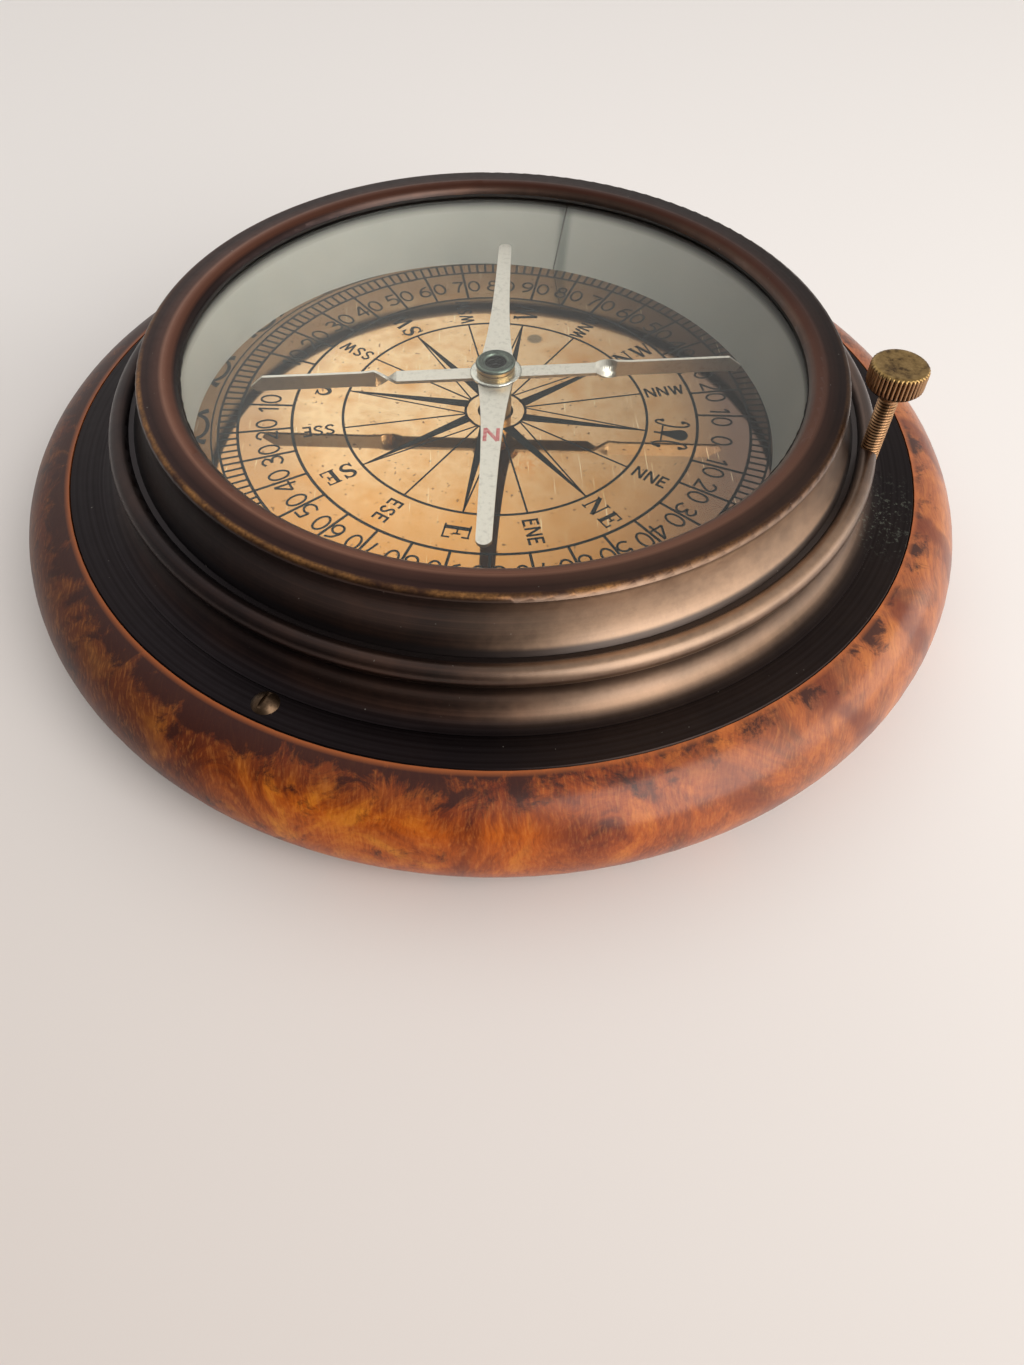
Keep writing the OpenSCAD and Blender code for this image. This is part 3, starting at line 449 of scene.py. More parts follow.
def knurled_brass():
    """Brass rod, turned, threaded and knurled.

    The eye sees brass handled till it is brown, pinker on the shank, with painted shade in every groove."""
    mat, at = start("knurled_aged_brass")
    z = round_axis(mat, at)[2]
    # clouds 1.8 mm across
    cloud = add(mat, "TexNoise", {"Vector": at, "Scale": 1 / 1.8, "Detail": 5.0, "Roughness": 0.7})
    body = add(mat, "ValToRGB", {"Fac": cloud}, stops=[
        (0.36, "#4a3620"), (0.50, "#8d7347"), (0.66, "#a88c5c")])
    off = add(mat, "VectorMath", {0: at, 1: (SCREW_X, SCREW_Y, 0.0)}, operation="SUBTRACT")
    off = add(mat, "VectorMath", {0: off, 1: (1.0, 1.0, 0.0)}, operation="MULTIPLY")
    off = add(mat, "VectorMath", {0: off}, operation="LENGTH").outputs["Value"]
    # painted shade in the grooves: the thread's floor on the shank, and the knurl's floor on the head's side
    on_head = add(mat, "Math", {0: z, 1: HEAD_FROM}, operation="GREATER_THAN")
    thread = add(mat, "MapRange", {"Value": off, "From Min": 1.40, "From Max": 1.24})
    knurl = add(mat, "MapRange", {"Value": off, "From Min": 4.02, "From Max": 3.82})
    knurl = lessen(mat, knurl, (z, SCREW_TOP - 0.2, SCREW_TOP - 0.5))
    groove_shade = add(mat, "Mix", {"Factor": on_head, "A": thread, "B": knurl})
    groove_shade = add(mat, "Math", {0: groove_shade, 1: 0.88}, operation="MULTIPLY")
    body = coats(
        mat, body, ((z, SCREW_TOP - 0.15, SCREW_TOP - 0.6, 0.7), "#b58b6a"), (groove_shade, "#150e09"))
    return finish(mat, add(mat, "BsdfPrincipled", {"Base Color": body, "Metallic": 1.0, "Roughness": 0.34}))


def float_glass():
    """Float glass 1.6 mm thick: clear, mirror-smooth, faintly green. Lamps shine through it."""
    mat, _ = start("clear_float_glass")
    body = add(mat, "BsdfPrincipled", {
        "Base Color": "#fafefc", "Roughness": 0.0, "IOR": 1.3, "Transmission Weight": 1.0})
    open_air = add(mat, "BsdfTransparent", {"Color": "#f4f8f6"})
    lamp_ray = add(mat, "LightPath").outputs["Is Shadow Ray"]
    return finish(mat, add(mat, "MixShader", {0: lamp_ray, 1: body, 2: open_air}))


BRONZE = brown_bronzed_brass()
WOOD = stained_burr_wood()
DIAL = lacquered_sheet_brass()
CARD = painted_card()
BAIZE = baize()
GLASS = float_glass()
STEEL = needle_steel()
CAP_STEEL = oiled_cap_steel()
BRIGHT = metal("polished_nickel", "#dedad2", 0.24, 0.2, "#8a8780", 0.7)
BLUED = metal("oiled_dark_steel", "#7b857f", 0.30, 0.45, "#3a403c", 0.7)
BRASS = metal("turned_brass", "#b3986c", 0.36, 0.35, "#7d5a32", 0.9)
AGED = knurled_brass()
DULL = metal("dulled_screw_brass", "#5c4a3a", 0.42, 0.7, "#2c221b", 1.0)
PUTTY = coating("oil_glazing_putty", "#14100e", "#2b211c", 0.85)
JEWEL = coating("polished_agate", "#c4d0dc", "#93a2b4", 0.08)
INK = coating("stoved_black_ink", "#0c1213", "#1c1a18", 0.45, 0.4, 1.5, 0.12)
RED = coating("red_enamel_paint", "#a8323a", "#cfa5a2", 0.45, 0.7, 0.5)

FINISHES = {
    WOOD: ("wood_base",),
    BAIZE: ("base_felt",),
    BRONZE: ("case_ring", "bezel_ring"),
    BRASS: ("case_pan", "pivot_post", "cap_collar", "lifter_sleeve", "lock_lever", "lever_bracket"),
    DULL: ("flange_screws",),
    GLASS: ("glass_pane",),
    PUTTY: ("glass_seal",),
    CARD: ("wall_liner",),
    DIAL: ("dial_plate",),
    STEEL: ("needle",),
    BLUED: ("post_screw", "bracket_screws", "thrust_tip"),
    BRIGHT: ("pivot_pin", "cap_washer", "lever_pin"),
    CAP_STEEL: ("cap_top",),
    JEWEL: ("cap_jewel",),
    AGED: ("thumbscrew",),
}
for mat, nodes in FINISHES.items():
    for node in nodes:
        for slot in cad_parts[node].material_slots:
            slot.material = mat


# Mesh making

SAME_POINT_M = 1e-7


class Piece:
    """Gathers skins, given as grids of points in millimetres, into one mesh object at the origin."""

    def __init__(self):
        self.points, self.faces, self.count = [], [], 0

    def skin(self, grid, loop=False):
        """Adds tubes, given as points (..., rows, round, 3).

        Each row is a closed ring and each quad joins two neighbours of one row to the same two of the
        next. With loop the last row joins the first, and otherwise the end rows are closed by a face."""
        rows, round_ = grid.shape[-3:-1]
        index = self.count + np.arange(grid.size // 3).reshape(-1, rows, round_)
        self.points.append(grid.reshape(-1, 3))
        self.count += grid.size // 3
        if loop:
            index = np.concatenate([index, index[:, :1]], 1)
        else:
            self.faces += index[:, 0].tolist() + index[:, -1].tolist()
        low, high = index[:, :-1], index[:, 1:]
        quads = np.stack([low, np.roll(low, -1, 2), np.roll(high, -1, 2), high], -1)
        self.faces += quads.reshape(-1, 4).tolist()

    def make(self, name, body, mat, crease=None):
        """Makes the mesh, merges doubles and turns faces outward. crease smooths edges under that angle."""
        mesh = bpy.data.meshes.new(name)
        mesh.from_pydata((np.concatenate(self.points) * MM).tolist(), [], self.faces)
        work = bmesh.new()
        work.from_mesh(mesh)
        bmesh.ops.remove_doubles(work, verts=work.verts, dist=SAME_POINT_M)
        bmesh.ops.recalc_face_normals(work, faces=work.faces)
        work.to_mesh(mesh)
        work.free()
        if crease:
            mesh.shade_smooth()
            mesh.set_sharp_from_angle(angle=math.radians(crease))
        mesh.materials.append(mat)
        piece = bpy.data.objects.new(name, mesh)
        bpy.context.scene.collection.objects.link(piece)
        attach(piece, body)
        return piece


# Printed dial. Flat figures are drawn x to the right and y up, then carried to their place on the dial.
# The ink stands 0.02 mm over the sheet and is sunk as far into it.

FILM = 0.02
INK_LOW, INK_HIGH = DIAL_FACE - FILM, DIAL_FACE + FILM


def ribbon(lines, width, loop=False, low=INK_LOW, high=INK_HIGH):
    """A printed stroke: an oblong section carried along flat lines (..., points, 2).

    The section is as wide as given, square to the line, and reaches from low to high."""
    lines = np.asarray(lines, float)
    ahead, behind = np.roll(lines, -1, -2), np.roll(lines, 1, -2)
    if not loop:
        ahead[..., -1, :], behind[..., 0, :] = lines[..., -1, :], lines[..., 0, :]
    way = ahead - behind
    way /= np.linalg.norm(way, axis=-1, keepdims=True)
    half = way[..., ::-1] * (-0.5, 0.5) * np.broadcast_to(width, lines.shape[:-1])[..., None]
    rim = np.stack([lines - half, lines + half, lines + half, lines - half], -2)
    height = np.broadcast_to([low, low, high, high], rim.shape[:-1])
    return np.concatenate([rim, height[..., None]], -1)


def polar(r, bearing):
    """The point at a radius and a bearing: the angle falls from north's as the bearing grows."""
    a = np.radians(NORTH - np.asarray(bearing, float))
    return np.stack([r * np.cos(a), r * np.sin(a)], -1)


def carry(figure, r, bearing, outward=False):
    """Carries a flat figure to a radius and bearing, its top outward, or reading outward if that is set."""
    away, clockwise = polar(1.0, bearing), polar(1.0, bearing + 90.0)
    right, up = (away, -clockwise) if outward else (clockwise, away)
    return r * away + figure[..., :1] * right + figure[..., 1:] * up


def line(*points):
    return np.array(points, float)


def curve(*points, count=15):
    """A smooth line through points.

    Between two of them it is the cubic whose slope at each is half the step between its neighbours."""
    p = np.array(points, float)
    p = np.concatenate([2 * p[:1] - p[1:2], p, 2 * p[-1:] - p[-2:-1]])
    t = np.linspace(0, len(points) - 1.000001, count)
    i = t.astype(int)
    a, b, c, d, u = p[i], p[i + 1], p[i + 2], p[i + 3], (t - i)[:, None]
    return b + u / 2 * (c - a + u * (2 * a - 5 * b + 4 * c - d + u * (3 * b - 3 * c + d - a)))


def oval(x, y, across, up, count=20):
    """A closed oval round (x, y); its last point is its first."""
    a = np.linspace(0, 2 * math.pi, count + 1)
    return np.stack([x + across * np.cos(a), y + up * np.sin(a)], -1)


# Each figure: its width, then its strokes, in parts of its height. Book letters give each stroke's weight.
PLAIN_STROKES = {
    "0": (0.62, [oval(0.31, 0.5, 0.28, 0.46)]),
    "1": (0.34, [line((0.06, 0.74), (0.28, 0.96)), line((0.28, 0.98), (0.28, 0.02))]),
    "2": (0.60, [curve((0.04, 0.74), (0.14, 0.92), (0.32, 0.96), (0.52, 0.84), (0.50, 0.60), (0.24, 0.26),
                       (0.03, 0.04)), line((0.0, 0.04), (0.58, 0.04))]),
    "3": (0.58, [curve((0.04, 0.84), (0.26, 0.96), (0.48, 0.84), (0.46, 0.64), (0.20, 0.53)),
                 curve((0.20, 0.53), (0.52, 0.44), (0.54, 0.16), (0.28, 0.04), (0.02, 0.16))]),
    "4": (0.66, [line((0.44, 0.98), (0.02, 0.30)), line((0.0, 0.30), (0.64, 0.30)),
                 line((0.46, 1.0), (0.46, 0.0))]),
    "5": (0.58, [line((0.54, 0.96), (0.12, 0.96)), line((0.13, 0.98), (0.08, 0.54)),
                 curve((0.08, 0.54), (0.32, 0.61), (0.54, 0.46), (0.53, 0.18), (0.28, 0.04), (0.02, 0.14))]),
    "6": (0.60, [oval(0.31, 0.30, 0.26, 0.26),
                 curve((0.50, 0.96), (0.22, 0.80), (0.07, 0.50), (0.05, 0.30))]),
    "7": (0.60, [line((0.02, 0.96), (0.60, 0.96)), curve((0.58, 0.96), (0.36, 0.56), (0.24, 0.0))]),
    "8": (0.60, [oval(0.30, 0.75, 0.20, 0.21), oval(0.30, 0.29, 0.26, 0.25)]),
    "9": (0.60, [oval(0.29, 0.70, 0.26, 0.26),
                 curve((0.55, 0.70), (0.53, 0.50), (0.38, 0.20), (0.10, 0.04))]),
    "N": (0.68, [line((0.05, 0), (0.05, 1)), line((0.05, 1), (0.63, 0)), line((0.63, 0), (0.63, 1))]),
    "E": (0.54, [line((0.05, 0), (0.05, 1)), line((0, 0.94), (0.52, 0.94)), line((0, 0.52), (0.44, 0.52)),
                 line((0, 0.06), (0.54, 0.06))]),
    "S": (0.56, [curve((0.50, 0.80), (0.40, 0.93), (0.18, 0.92), (0.05, 0.76), (0.16, 0.58), (0.40, 0.44),
                       (0.51, 0.25), (0.38, 0.07), (0.16, 0.06), (0.03, 0.20), count=21)]),
    "W": (0.94, [line((0.03, 1), (0.25, 0)), line((0.25, 0), (0.47, 0.92)), line((0.47, 0.92), (0.69, 0)),
                 line((0.69, 0), (0.91, 1))]),
}
PLAIN = {c: (wide, [(stroke, 1) for stroke in strokes]) for c, (wide, strokes) in PLAIN_STROKES.items()}
SWELL = 0.45 + 0.75 * np.sin(np.linspace(0, math.pi, 25)) ** 2
BOOK = {
    "N": (0.94, [(line((0.14, 0), (0.14, 1)), 0.5), (line((0.12, 1), (0.80, 0)), 1.2),
                 (line((0.80, 0), (0.80, 1)), 0.5), (line((0, 0.03), (0.28, 0.03)), 0.45),
                 (line((0, 0.97), (0.22, 0.97)), 0.45), (line((0.66, 0.97), (0.94, 0.97)), 0.45)]),
    "E": (0.74, [(line((0.20, 0), (0.20, 1)), 1.2), (line((0.03, 0.96), (0.66, 0.96)), 0.45),
                 (line((0.03, 0.04), (0.72, 0.04)), 0.45), (line((0.20, 0.52), (0.50, 0.52)), 0.45),
                 (line((0.65, 1.0), (0.65, 0.72)), 0.5), (line((0.71, 0.0), (0.71, 0.30)), 0.5),
                 (line((0.50, 0.38), (0.50, 0.66)), 0.5)]),
    "S": (0.66, [(curve((0.60, 0.76), (0.48, 0.94), (0.26, 0.95), (0.10, 0.80), (0.16, 0.60), (0.46, 0.44),
                        (0.57, 0.25), (0.42, 0.06), (0.18, 0.06), (0.05, 0.24), count=25), SWELL),
                 (line((0.61, 0.70), (0.61, 1.0)), 0.45), (line((0.04, 0.0), (0.04, 0.30)), 0.45)]),
    "W": (1.16, [(line((0.10, 1), (0.36, 0)), 1.1), (line((0.36, 0), (0.60, 1)), 0.5),
                 (line((0.56, 1), (0.82, 0)), 1.1), (line((0.82, 0), (1.06, 1)), 0.5),
                 (line((0.0, 0.97), (0.24, 0.97)), 0.45), (line((0.46, 0.97), (0.70, 0.97)), 0.45),
                 (line((0.94, 0.97), (1.16, 0.97)), 0.45)]),
}


LETTER_GAP = 0.2


def letter(piece, words, face, height, pen, place, offset=0.0):
    """Writes letters side by side, their middle at offset. Place carries each stroke, scaled by height."""
    x = offset / height - (sum(face[c][0] for c in words) + LETTER_GAP * (len(words) - 1)) / 2
    for c in words:
        for stroke, weight in face[c][1]:
            loop = bool(np.allclose(stroke[0], stroke[-1]))
            figure = (stroke[:-1] if loop else stroke) * height + (x * height, -height / 2)
            piece.skin(place(figure, pen * weight, loop), loop)
        x += face[c][0] + LETTER_GAP


def on_dial(r, bearing, outward=False):
    """A place for strokes: printed at a radius and bearing on the dial."""
    return lambda figure, width, loop: ribbon(carry(figure, r, bearing, outward), width, loop)


HUB_RING, ROSE_RING, NAME_RING, SCALE_IN, SCALE_OUT, EDGE_RING = 4.86, 24.6, 32.7, 41.2, 44.2, 45.3
RING_PENS = {
    HUB_RING: 0.42, ROSE_RING: 0.44, NAME_RING: 0.48, SCALE_IN: 0.46, SCALE_OUT: 0.40, EDGE_RING: 0.28}
TICK_PEN, TEN_PEN = 0.42, 0.44


def print_scale():
    """Rings, 180 ticks two degrees apart, and a line at each ten degrees except at north and south."""
    piece = Piece()
    for r, pen in RING_PENS.items():
        piece.skin(ribbon(polar(r, np.arange(0.0, 360.0, 1.5)), pen, True), True)
    ticks = np.arange(0.0, 360.0, 2.0)
    piece.skin(ribbon(np.stack([polar(SCALE_IN, ticks), polar(SCALE_OUT, ticks)], 1), TICK_PEN))
    tens = np.array([b for b in range(10, 360, 10) if b != 180], float)
    piece.skin(ribbon(np.stack([polar(NAME_RING, tens), polar(SCALE_IN, tens)], 1), TEN_PEN))
    piece.make("dial_scale", "case", INK)


NUMBERS_R, NUMBER_HIGH, NUMBER_PEN = 36.65, 3.4, 0.38
TENS_OFFSET, UNITS_OFFSET = -1.35, 1.55


def print_numbers():
    """Degrees from 0 at north and south to 90 at east and west; the ten's line passes between the digits."""
    piece = Piece()
    for b in range(0, 360, 10):
        tens = min(b % 180, 180 - b % 180) // 10
        place = on_dial(NUMBERS_R, b)
        if tens:
            letter(piece, str(tens), PLAIN, NUMBER_HIGH, NUMBER_PEN, place, TENS_OFFSET)
        letter(piece, "0", PLAIN, NUMBER_HIGH, NUMBER_PEN, place, UNITS_OFFSET if tens else 0.0)
    piece.make("dial_numbers", "case", INK)


NAMES_R = 28.6
# Letters, height and pen of a name with one, two or three letters. The mark of north stands in for its name.
NAME_STYLES = {1: (BOOK, 4.1, 0.6), 2: (BOOK, 3.2, 0.55), 3: (PLAIN, 2.4, 0.38)}
NAMES = ("NNE", "NE", "ENE", "E", "ESE", "SE", "SSE", "S", "SSW", "SW", "WSW", "W", "WNW", "NW", "NNW")


def print_names():
    """Names of the points, reading outward: book letters on the main ones, plain letters between them."""
    piece = Piece()
    for k, name in enumerate(NAMES, 1):
        letter(piece, name, *NAME_STYLES[len(name)], on_dial(NAMES_R, 22.5 * k, True))
    piece.make("dial_names", "case", INK)


WEDGE_HALF, WEDGE_FROM, WEDGE_TIP = 1.66, 4.6, 0.06
SIDE_PEN, RIDGE_PEN, BETWEEN_PEN = 0.26, 0.24, 0.30


def print_rose():
    """Eight points: each a wedge from hub ring to rose ring, its clockwise half black and the other drawn."""
    piece = Piece()
    for b in np.arange(0.0, 360.0, 45.0):
        black = carry(line((WEDGE_HALF / 2, WEDGE_FROM), (0.02, ROSE_RING)), 0.0, b)
        piece.skin(ribbon(black, np.array([WEDGE_HALF, WEDGE_TIP])))
        for side, pen in ((-WEDGE_HALF, SIDE_PEN), (0.0, RIDGE_PEN)):
            piece.skin(ribbon(carry(line((side, WEDGE_FROM), (0.0, ROSE_RING)), 0.0, b), pen))
    between = np.arange(22.5, 360.0, 45.0)
    piece.skin(ribbon(np.stack([polar(HUB_RING, between), polar(ROSE_RING, between)], 1), BETWEEN_PEN))
    piece.make("dial_rose", "case", INK)


# Places up the drop of the mark of north, and its width at each
DROP_UP = (31.25, 31.1, 30.8, 30.4, 30.0, 29.4, 28.6, 27.8, 27.1)
DROP_WIDE = (0.3, 1.4, 2.2, 2.55, 2.6, 2.3, 1.75, 1.25, 0.95)
CROSSBAR_HALF, CROSSBAR_PEN, SCROLL_PEN = 1.95, 0.28, 0.36
BALL_OUT, BALL_R, BALL_PEN = 3.26, 0.19, 0.38


def print_fleur():
    """Mark of north: a solid drop on a crossbar, between two stems whose ends curl outward to balls."""
    piece = Piece()
    place = on_dial(0.0, 0.0)
    piece.skin(place(line(*((0, up) for up in DROP_UP)), np.array(DROP_WIDE), False))
    piece.skin(place(line((0, 27.2), (0, 25.8)), np.array([0.55, 0.32]), False))
    piece.skin(place(line((-CROSSBAR_HALF, 27.1), (CROSSBAR_HALF, 27.1)), CROSSBAR_PEN, False))
    scroll = curve((3.30, 30.3), (3.20, 30.9), (2.75, 31.25), (2.30, 30.8), (2.05, 30.0), (1.93, 28.9),
                   (1.97, 27.9), (2.12, 27.1), (2.40, 26.2), (2.78, 25.82), (3.18, 26.1), (3.30, 26.8),
                   count=45)
    for side in (-1, 1):
        piece.skin(place(scroll * (side, 1), SCROLL_PEN, False))
        for up in (30.25, 26.85):
            ball = oval(BALL_OUT * side, up, BALL_R, BALL_R, 12)[:-1]
            piece.skin(place(ball, BALL_PEN, True), True)
    piece.make("dial_fleur", "case", INK)


ARCH_HALF, ARCH_DEEP, ARCH_R, ARCH_PEN = 2.75, 1.6, 47.5, 0.62
BORDER_FROM, BORDER_STEP = 0.8, 18.0


def print_border():
    """Scroll border at the rim: an arch every 18 degrees, with a leaf that ends thick on each side of it."""
    piece = Piece()
    a = np.linspace(0, math.pi, 15)
    arch = np.stack([-ARCH_HALF * np.cos(a), ARCH_R - ARCH_DEEP * np.sin(a)], -1)
    leaf = curve((2.85, 47.6), (3.35, 47.2), (3.75, 46.5), (3.85, 46.0), count=9)
    for b in np.arange(BORDER_FROM, 360.0, BORDER_STEP):
        place = on_dial(0.0, b)
        piece.skin(place(arch, ARCH_PEN, False))
        for side in (-1, 1):
            piece.skin(place(leaf * (side, 1), np.linspace(0.5, 1.25, 9), False))
    piece.make("dial_border", "case", INK)


print_scale()
print_numbers()
print_names()
print_rose()
print_fleur()
print_border()


TURN, LEAN = math.radians(NEEDLE_NORTH), math.radians(NEEDLE_LEAN)
NEEDLE_AXES = np.array(Matrix.Rotation(TURN, 3, "Z") @ Matrix.Rotation(LEAN, 3, "X"))
MARK_OUT, MARK_HIGH, MARK_PEN = 15.3, 2.95, 0.55
WIDE_N = {"N": (0.76, [(stroke * (1.12, 1), weight) for stroke, weight in PLAIN["N"][1]])}


def with_needle(grid):
    """Turns and leans points with the needle about its point."""
    return grid @ NEEDLE_AXES.T + (0, 0, PIVOT_Z)


def paint_needle_mark():
    """The N on the needle: strokes drawn on the plate's top, then turned and leaned with the needle."""
    def place(figure, width, loop):
        on_arm = np.stack([MARK_OUT - figure[..., 1], figure[..., 0]], -1)
        return with_needle(ribbon(on_arm, width, loop, PLATE_OVER_PIVOT - FILM, PLATE_OVER_PIVOT + FILM))

    piece = Piece()
    letter(piece, "N", WIDE_N, MARK_HIGH, MARK_PEN, place)
    piece.make("needle_mark", "needle_set", RED)


paint_needle_mark()


# Thumbscrew: a thread and a straight knurl, too fine for the solids

NECK_FROM = SCREW_TOP - 5.4
CREST, THREAD_DEPTH, PITCH = 1.46, 0.27, 0.5
TIP_HOLE_R, TIP_HOLE_DEEP, NECK_TOP_R = 0.83, 2.1, 2.9
HEAD_R, RIDGES, RIDGE_DEPTH = 4.1, 40, 0.30
# Section of the head from its foot to its top: radius, height, and share of the ridges' depth
HEAD = (
    (0.0, 0.0, 0), (2.6, 0.0, 0), (3.3, 0.05, 0), (3.55, 0.2, 0.3), (3.82, 0.5, 0.8), (HEAD_R, 0.8, 1),
    (HEAD_R, 1.6, 1), (HEAD_R, 2.5, 1), (HEAD_R, 3.3, 1), (HEAD_R, 3.55, 1), (3.95, 3.72, 0.5),
    (3.74, 3.86, 0.0), (3.6, 3.9, 0), (3.2, 3.88, 0), (1.6, 3.84, 0), (0.0, 3.82, 0))


def turn_thumbscrew():
    """Head and shank, both surfaces of revolution whose radius is a function of height and angle.

    Shank: the crest radius less a thread depth that rises and falls once in each pitch and once in each
    turn, so that the grooves form a helix. Head: the head's radius less a ridge wave of the angle."""
    piece = Piece()

    def revolve(r, z, a):
        piece.skin(np.stack([SCREW_X + r * np.cos(a), SCREW_Y + r * np.sin(a), z + 0 * a], -1))

    # shank, with the blind hole for the swivelling tip
    a = np.linspace(0, 2 * math.pi, 60, endpoint=False)[None]
    z = np.arange(SCREW_FOOT + 0.3, NECK_FROM + 0.2, PITCH / 8)[:, None]
    wave = 0.5 - 0.5 * np.cos(2 * math.pi * (z / PITCH - a / (2 * math.pi)))
    fade = np.clip((z - z[0]) / 0.5, 0, 1) * np.clip((z[-1] - z) / 0.8, 0, 1)
    thread = CREST - THREAD_DEPTH * wave ** 0.8 * fade
    hole_r = np.array([0.0, TIP_HOLE_R, TIP_HOLE_R, 1.2])[:, None] + 0 * a
    hole_z = SCREW_FOOT + np.array([TIP_HOLE_DEEP, TIP_HOLE_DEEP, 0.0, 0.0])[:, None]
    neck_r = np.array([CREST, NECK_TOP_R, NECK_TOP_R, 0.0])[:, None] + 0 * a
    neck_z = np.array([NECK_FROM + 0.2, HEAD_FROM + 0.02, HEAD_FROM + 0.3, HEAD_FROM + 0.3])[:, None]
    revolve(np.vstack([hole_r, thread, neck_r]), np.vstack([hole_z, z, neck_z]), a)

    # head, knurled between its two chamfers; the top is a little dished
    a = np.linspace(0, 2 * math.pi, RIDGES * 6, endpoint=False)[None]
    r, up, depth = (np.array(HEAD)[:, k, None] for k in range(3))
    ridge = np.abs(np.sin(a * RIDGES / 2)) ** 0.7
    revolve(r - RIDGE_DEPTH * depth * (1 - ridge), HEAD_FROM + up, a)
    screw = piece.make("thumbscrew_turned", "stop_screw", AGED, 40.0)
    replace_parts(screw, "thumbscrew")


turn_thumbscrew()


FOOT_R, TOP_R, CARD_THICK, UNDER_GLASS = 46.05, 47.85, 0.5, 0.1
SLIP, SLIP_TOWARD, JOINT_AT = 2.5, -135.0, 73.0
END_LEAN, END_LEAN_DEG = 0.22, 1.3


def roll_liner():
    """Painted card strip rolled into a ring: a cone whose foot has slipped toward the front left.

    Radius is the foot's plus a share of the height. The centre moves back to the axis as the height grows.
    Beside the butt joint the two ends lean inward by a bell curve, which shows as a soft ridge."""
    height = GLASS_TOP - GLASS_THICK - UNDER_GLASS - DIAL_FACE
    a = np.radians(JOINT_AT + np.concatenate([
        np.linspace(0.12, 5.0, 25), np.linspace(5.5, 354.5, 350), np.linspace(355.0, 359.88, 25)]))[:, None]
    from_joint = np.degrees(np.minimum(a - a[0], a[-1] - a))
    lean = END_LEAN * np.exp(-(from_joint / END_LEAN_DEG) ** 2)
    # section from the foot's inner edge up, over the rounded top and down the back
    outward = np.array([0, 0, 0, 0, 0.06, 0.25, 0.44, 0.5, 0.5, 0.5])
    up = np.array([0, 0.35, 0.7, 0.985, 0.997, 1, 0.997, 0.985, 0.5, 0])
    r = FOOT_R + (TOP_R - FOOT_R) * up - lean * (0.35 + 0.65 * up) + CARD_THICK / 0.5 * outward
    shift = SLIP * (1 - up)
    x = r * np.cos(a) + shift * math.cos(math.radians(SLIP_TOWARD))
    y = r * np.sin(a) + shift * math.sin(math.radians(SLIP_TOWARD))
    piece = Piece()
    piece.skin(np.stack([x, y, DIAL_FACE + height * up + 0 * a], -1))
    strip = piece.make("liner_strip", "case", CARD, 40.0)
    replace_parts(strip, "wall_liner")


roll_liner()


# Sections of the washer and of the cap's top: radius, and height over the needle's point
WASHER_HOLE_R = 1.87
WASHER = (
    (WASHER_HOLE_R, -0.70), (3.5, -0.70), (3.6, -0.61), (3.9, -0.59), (4.02, -0.55), (4.05, -0.48),
    (4.0, -0.41), (3.9, -0.35), (3.75, -0.31), (3.5, -0.30), (WASHER_HOLE_R, -0.30), (WASHER_HOLE_R, -0.50),
    (WASHER_HOLE_R, -0.70))
CAP_TOP = (
    (0.0, 0.8), (2.92, 0.8), (3.05, 0.85), (3.1, 0.95), (3.1, 1.08), (3.05, 1.2), (2.94, 1.31), (2.78, 1.38),
    (2.6, 1.4), (2.1, 1.4), (1.98, 1.38), (1.88, 1.31), (1.78, 1.18), (1.62, 1.05), (1.42, 0.97), (1.2, 0.95),
    (0.95, 0.95), (0.7, 0.95), (0.45, 0.95), (0.2, 0.95), (0.0, 0.95))
STAKE_HIGH, STAKE_OUT, STAKE_WIDE, STAKE_END = 0.22, 0.75, 0.35, 1.3


def stakes(r, a):
    """Height of three punch marks: a wave three times round, times a bell curve of the radius."""
    return (STAKE_HIGH * (0.5 + 0.5 * np.cos(3 * a)) * np.exp(-((r - STAKE_OUT) / STAKE_WIDE) ** 2)
            * (r < STAKE_END))


def on_needle(name, node, section, mat, punch=None):
    """A surface of revolution about the needle's own axis, leaned and turned with it.

    Punch adds a height that is a function of radius and angle."""
    a = np.linspace(0, 2 * math.pi, 72, endpoint=False)[None]
    r, z = (np.array(section)[:, k, None] + 0 * a for k in (0, 1))
    if punch:
        z = z + punch(r, a)
    piece = Piece()
    piece.skin(with_needle(np.stack([r * np.cos(a), r * np.sin(a), z], -1)), section[0] == section[-1])
    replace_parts(piece.make(name, "needle_set", mat, 50.0), node)


def turn_cap():
    """Washer with a rolled rim, and the steel top: a rounded ring round a hollow with three punch marks."""
    on_needle("washer_turned", "cap_washer", WASHER, BRIGHT)
    on_needle("cap_ring", "cap_top", CAP_TOP, CAP_STEEL, stakes)


turn_cap()


BEAD_OUT_R, BEAD_IN_R, BEAD_WAVES, BEAD_HIGH = 50.4, 47.32, 0.28, 0.4
WAVES_ROUND = np.array([3, 5, 8, 13, 21, 34, 55, 89, 120, 170])[:, None]


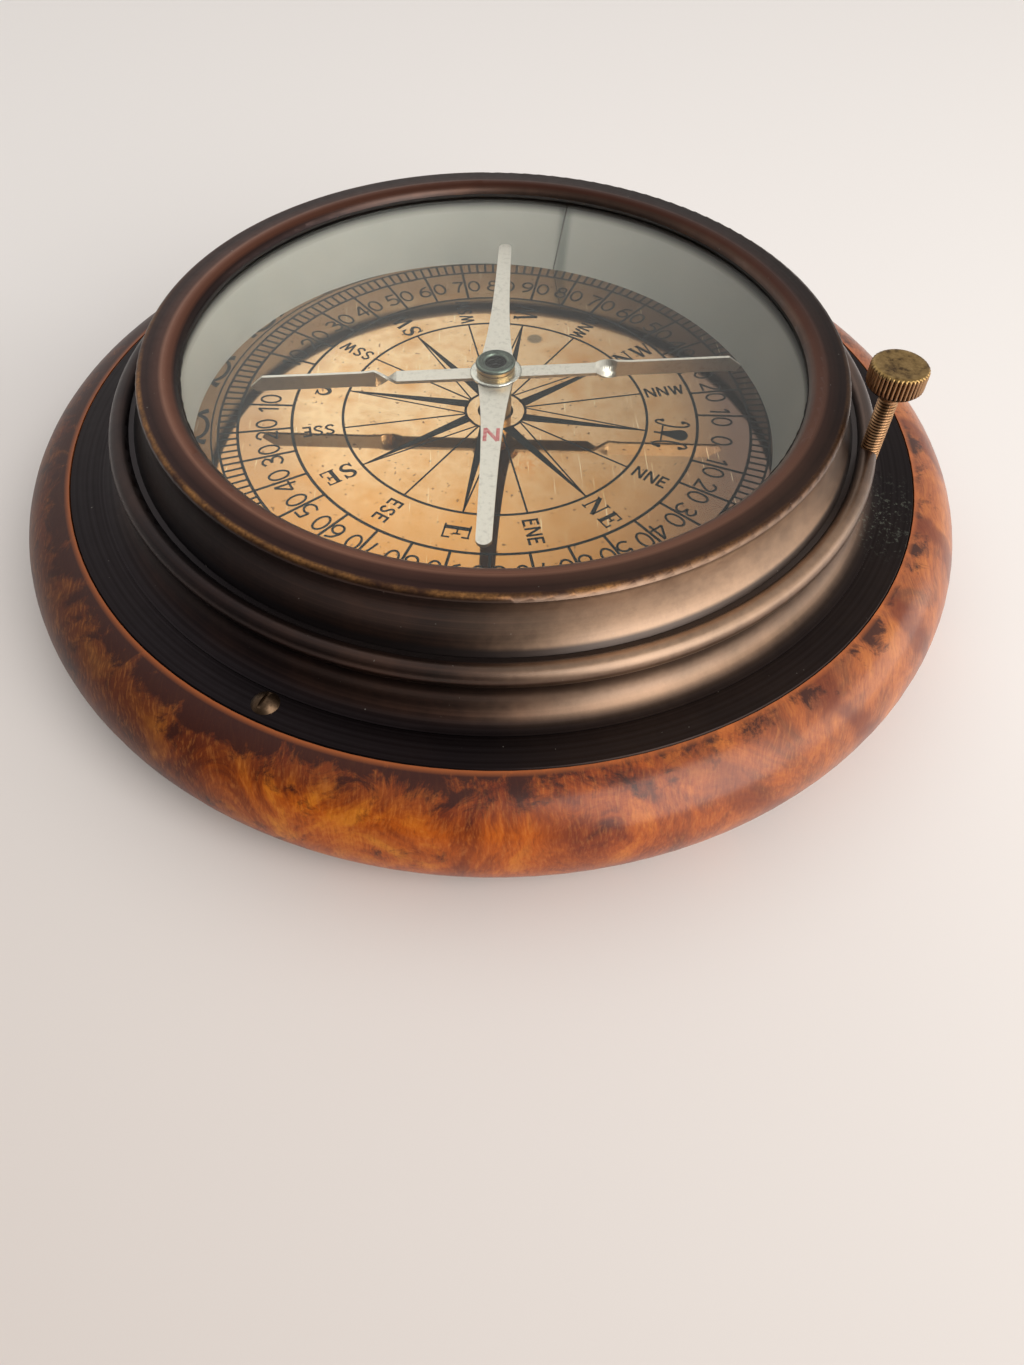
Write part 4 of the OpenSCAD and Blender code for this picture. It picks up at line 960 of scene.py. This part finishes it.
def press_putty():
    """Bead of putty in the joint of glass and lip: a low section carried round, its inner edge uneven.

    The inner radius is a mean less a sum of waves round the circle, with seeded phases."""
    rng = np.random.default_rng(7)
    a = np.linspace(0, 2 * math.pi, 720, endpoint=False)
    phases = rng.uniform(0, 6.28, len(WAVES_ROUND))[:, None]
    uneven = (np.sin(WAVES_ROUND * a + phases) / WAVES_ROUND ** 0.35).sum(0)
    uneven = (uneven - uneven.min()) / (uneven.max() - uneven.min())
    inner = BEAD_IN_R - BEAD_WAVES * uneven ** 2
    r = np.stack([0 * a + BEAD_OUT_R, 0 * a + BEAD_OUT_R, inner + 0.18, inner + 0.02, inner], -1)
    z = np.broadcast_to(GLASS_TOP + np.array([0.0, BEAD_HIGH, BEAD_HIGH, 0.22, 0.0]), r.shape)
    piece = Piece()
    piece.skin(np.stack([r * np.cos(a)[:, None], r * np.sin(a)[:, None], z], -1), True)
    bead = piece.make("putty_bead", "case", PUTTY)
    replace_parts(bead, "glass_seal")


press_putty()


# Room: a wide window on the right, a pale room behind, and a darker side where the viewer stands

def hang_lamp(name, bearing, height, distance, size, power, colour):
    """A soft box at a bearing and height in degrees and a distance in metres, facing the compass."""
    a, e = math.radians(bearing), math.radians(height)
    at = Vector((math.cos(a) * math.cos(e), math.sin(a) * math.cos(e), math.sin(e))) * distance
    light = bpy.data.lights.new(name, "AREA")
    light.shape, light.energy, light.color = "RECTANGLE", power, linear(colour)[:3]
    light.size, light.size_y = size
    lamp = bpy.data.objects.new(name, light)
    lamp.matrix_world = Matrix.Translation(at) @ at.to_track_quat("Z", "Y").to_matrix().to_4x4()
    bpy.context.scene.collection.objects.link(lamp)


LIGHT_FROM, VIEWER_AT = (-0.38, 0.66, 0.65), (-0.55, -0.83, 0.05)


def paint_room():
    """World: brightest high up at the back, darker toward the viewer, by direction in the room."""
    world = bpy.data.worlds.new("room")
    bpy.context.scene.world = world
    world.use_nodes = True
    world.node_tree.nodes.clear()
    way = add(world, "TexCoord").outputs["Generated"]
    toward = add(world, "VectorMath", {0: way, 1: LIGHT_FROM}, operation="DOT_PRODUCT")
    toward = add(world, "MapRange", {"Value": toward, "From Min": -1.0, "From Max": 1.0})
    glow = add(world, "ValToRGB", {"Fac": toward}, stops=[
        (0.0, "#a5a09d"), (0.40, "#b3aeab"), (0.85, "#b8b4b1"), (0.945, "#cfcbc7"), (0.985, "#f6f3ee")])
    viewer = add(world, "VectorMath", {0: way, 1: VIEWER_AT}, operation="DOT_PRODUCT")
    level = add(world, "MapRange", {
        "Value": viewer, "From Min": 0.35, "From Max": 0.95, "To Min": 1.28, "To Max": 0.12})
    add(world, "OutputWorld", {"Surface": add(world, "Background", {"Color": glow, "Strength": level})})


hang_lamp("front_right", -50.0, 32.0, 1.0, (0.7, 1.10), 10.0, "#fffaf4")
hang_lamp("right", -6.0, 14.0, 1.0, (0.8, 0.44), 2.6, "#fff8f0")
paint_room()


def pale_paper():
    """Sheet of smooth paper: matt, with painted shade toward the front left and painted grey where the lamps
    hang close.
    """
    mat, at = start("pale_paper")
    back = add(mat, "VectorMath", {0: at, 1: (0.5, 0.85, 0.0)}, operation="DOT_PRODUCT")
    # painted shade: grey from 0.4 m out to 0.9 m, where the lamps hang close
    away = round_axis(mat, at)[3]
    away = add(mat, "MapRange", {"Value": away, "From Min": 400.0, "From Max": 900.0}, **SMOOTH)
    body = coats(mat, "#cdc6c2", ((back, -150.0, 10.0), "#ebe9e8"), (away, "#7d7976"))
    return finish(mat, add(mat, "BsdfPrincipled", {"Base Color": body, "Roughness": 0.7}))


SHEET_HALF_M = 3
sheet = bpy.data.meshes.new("table")
corners = [(SHEET_HALF_M * x, SHEET_HALF_M * y, 0) for x, y in ((-1, -1), (1, -1), (1, 1), (-1, 1))]
sheet.from_pydata(corners, [], [(0, 1, 2, 3)])
sheet.materials.append(pale_paper())
table = bpy.data.objects.new("table", sheet)
bpy.context.scene.collection.objects.link(table)

bpy.context.scene.view_settings.view_transform = "Standard"
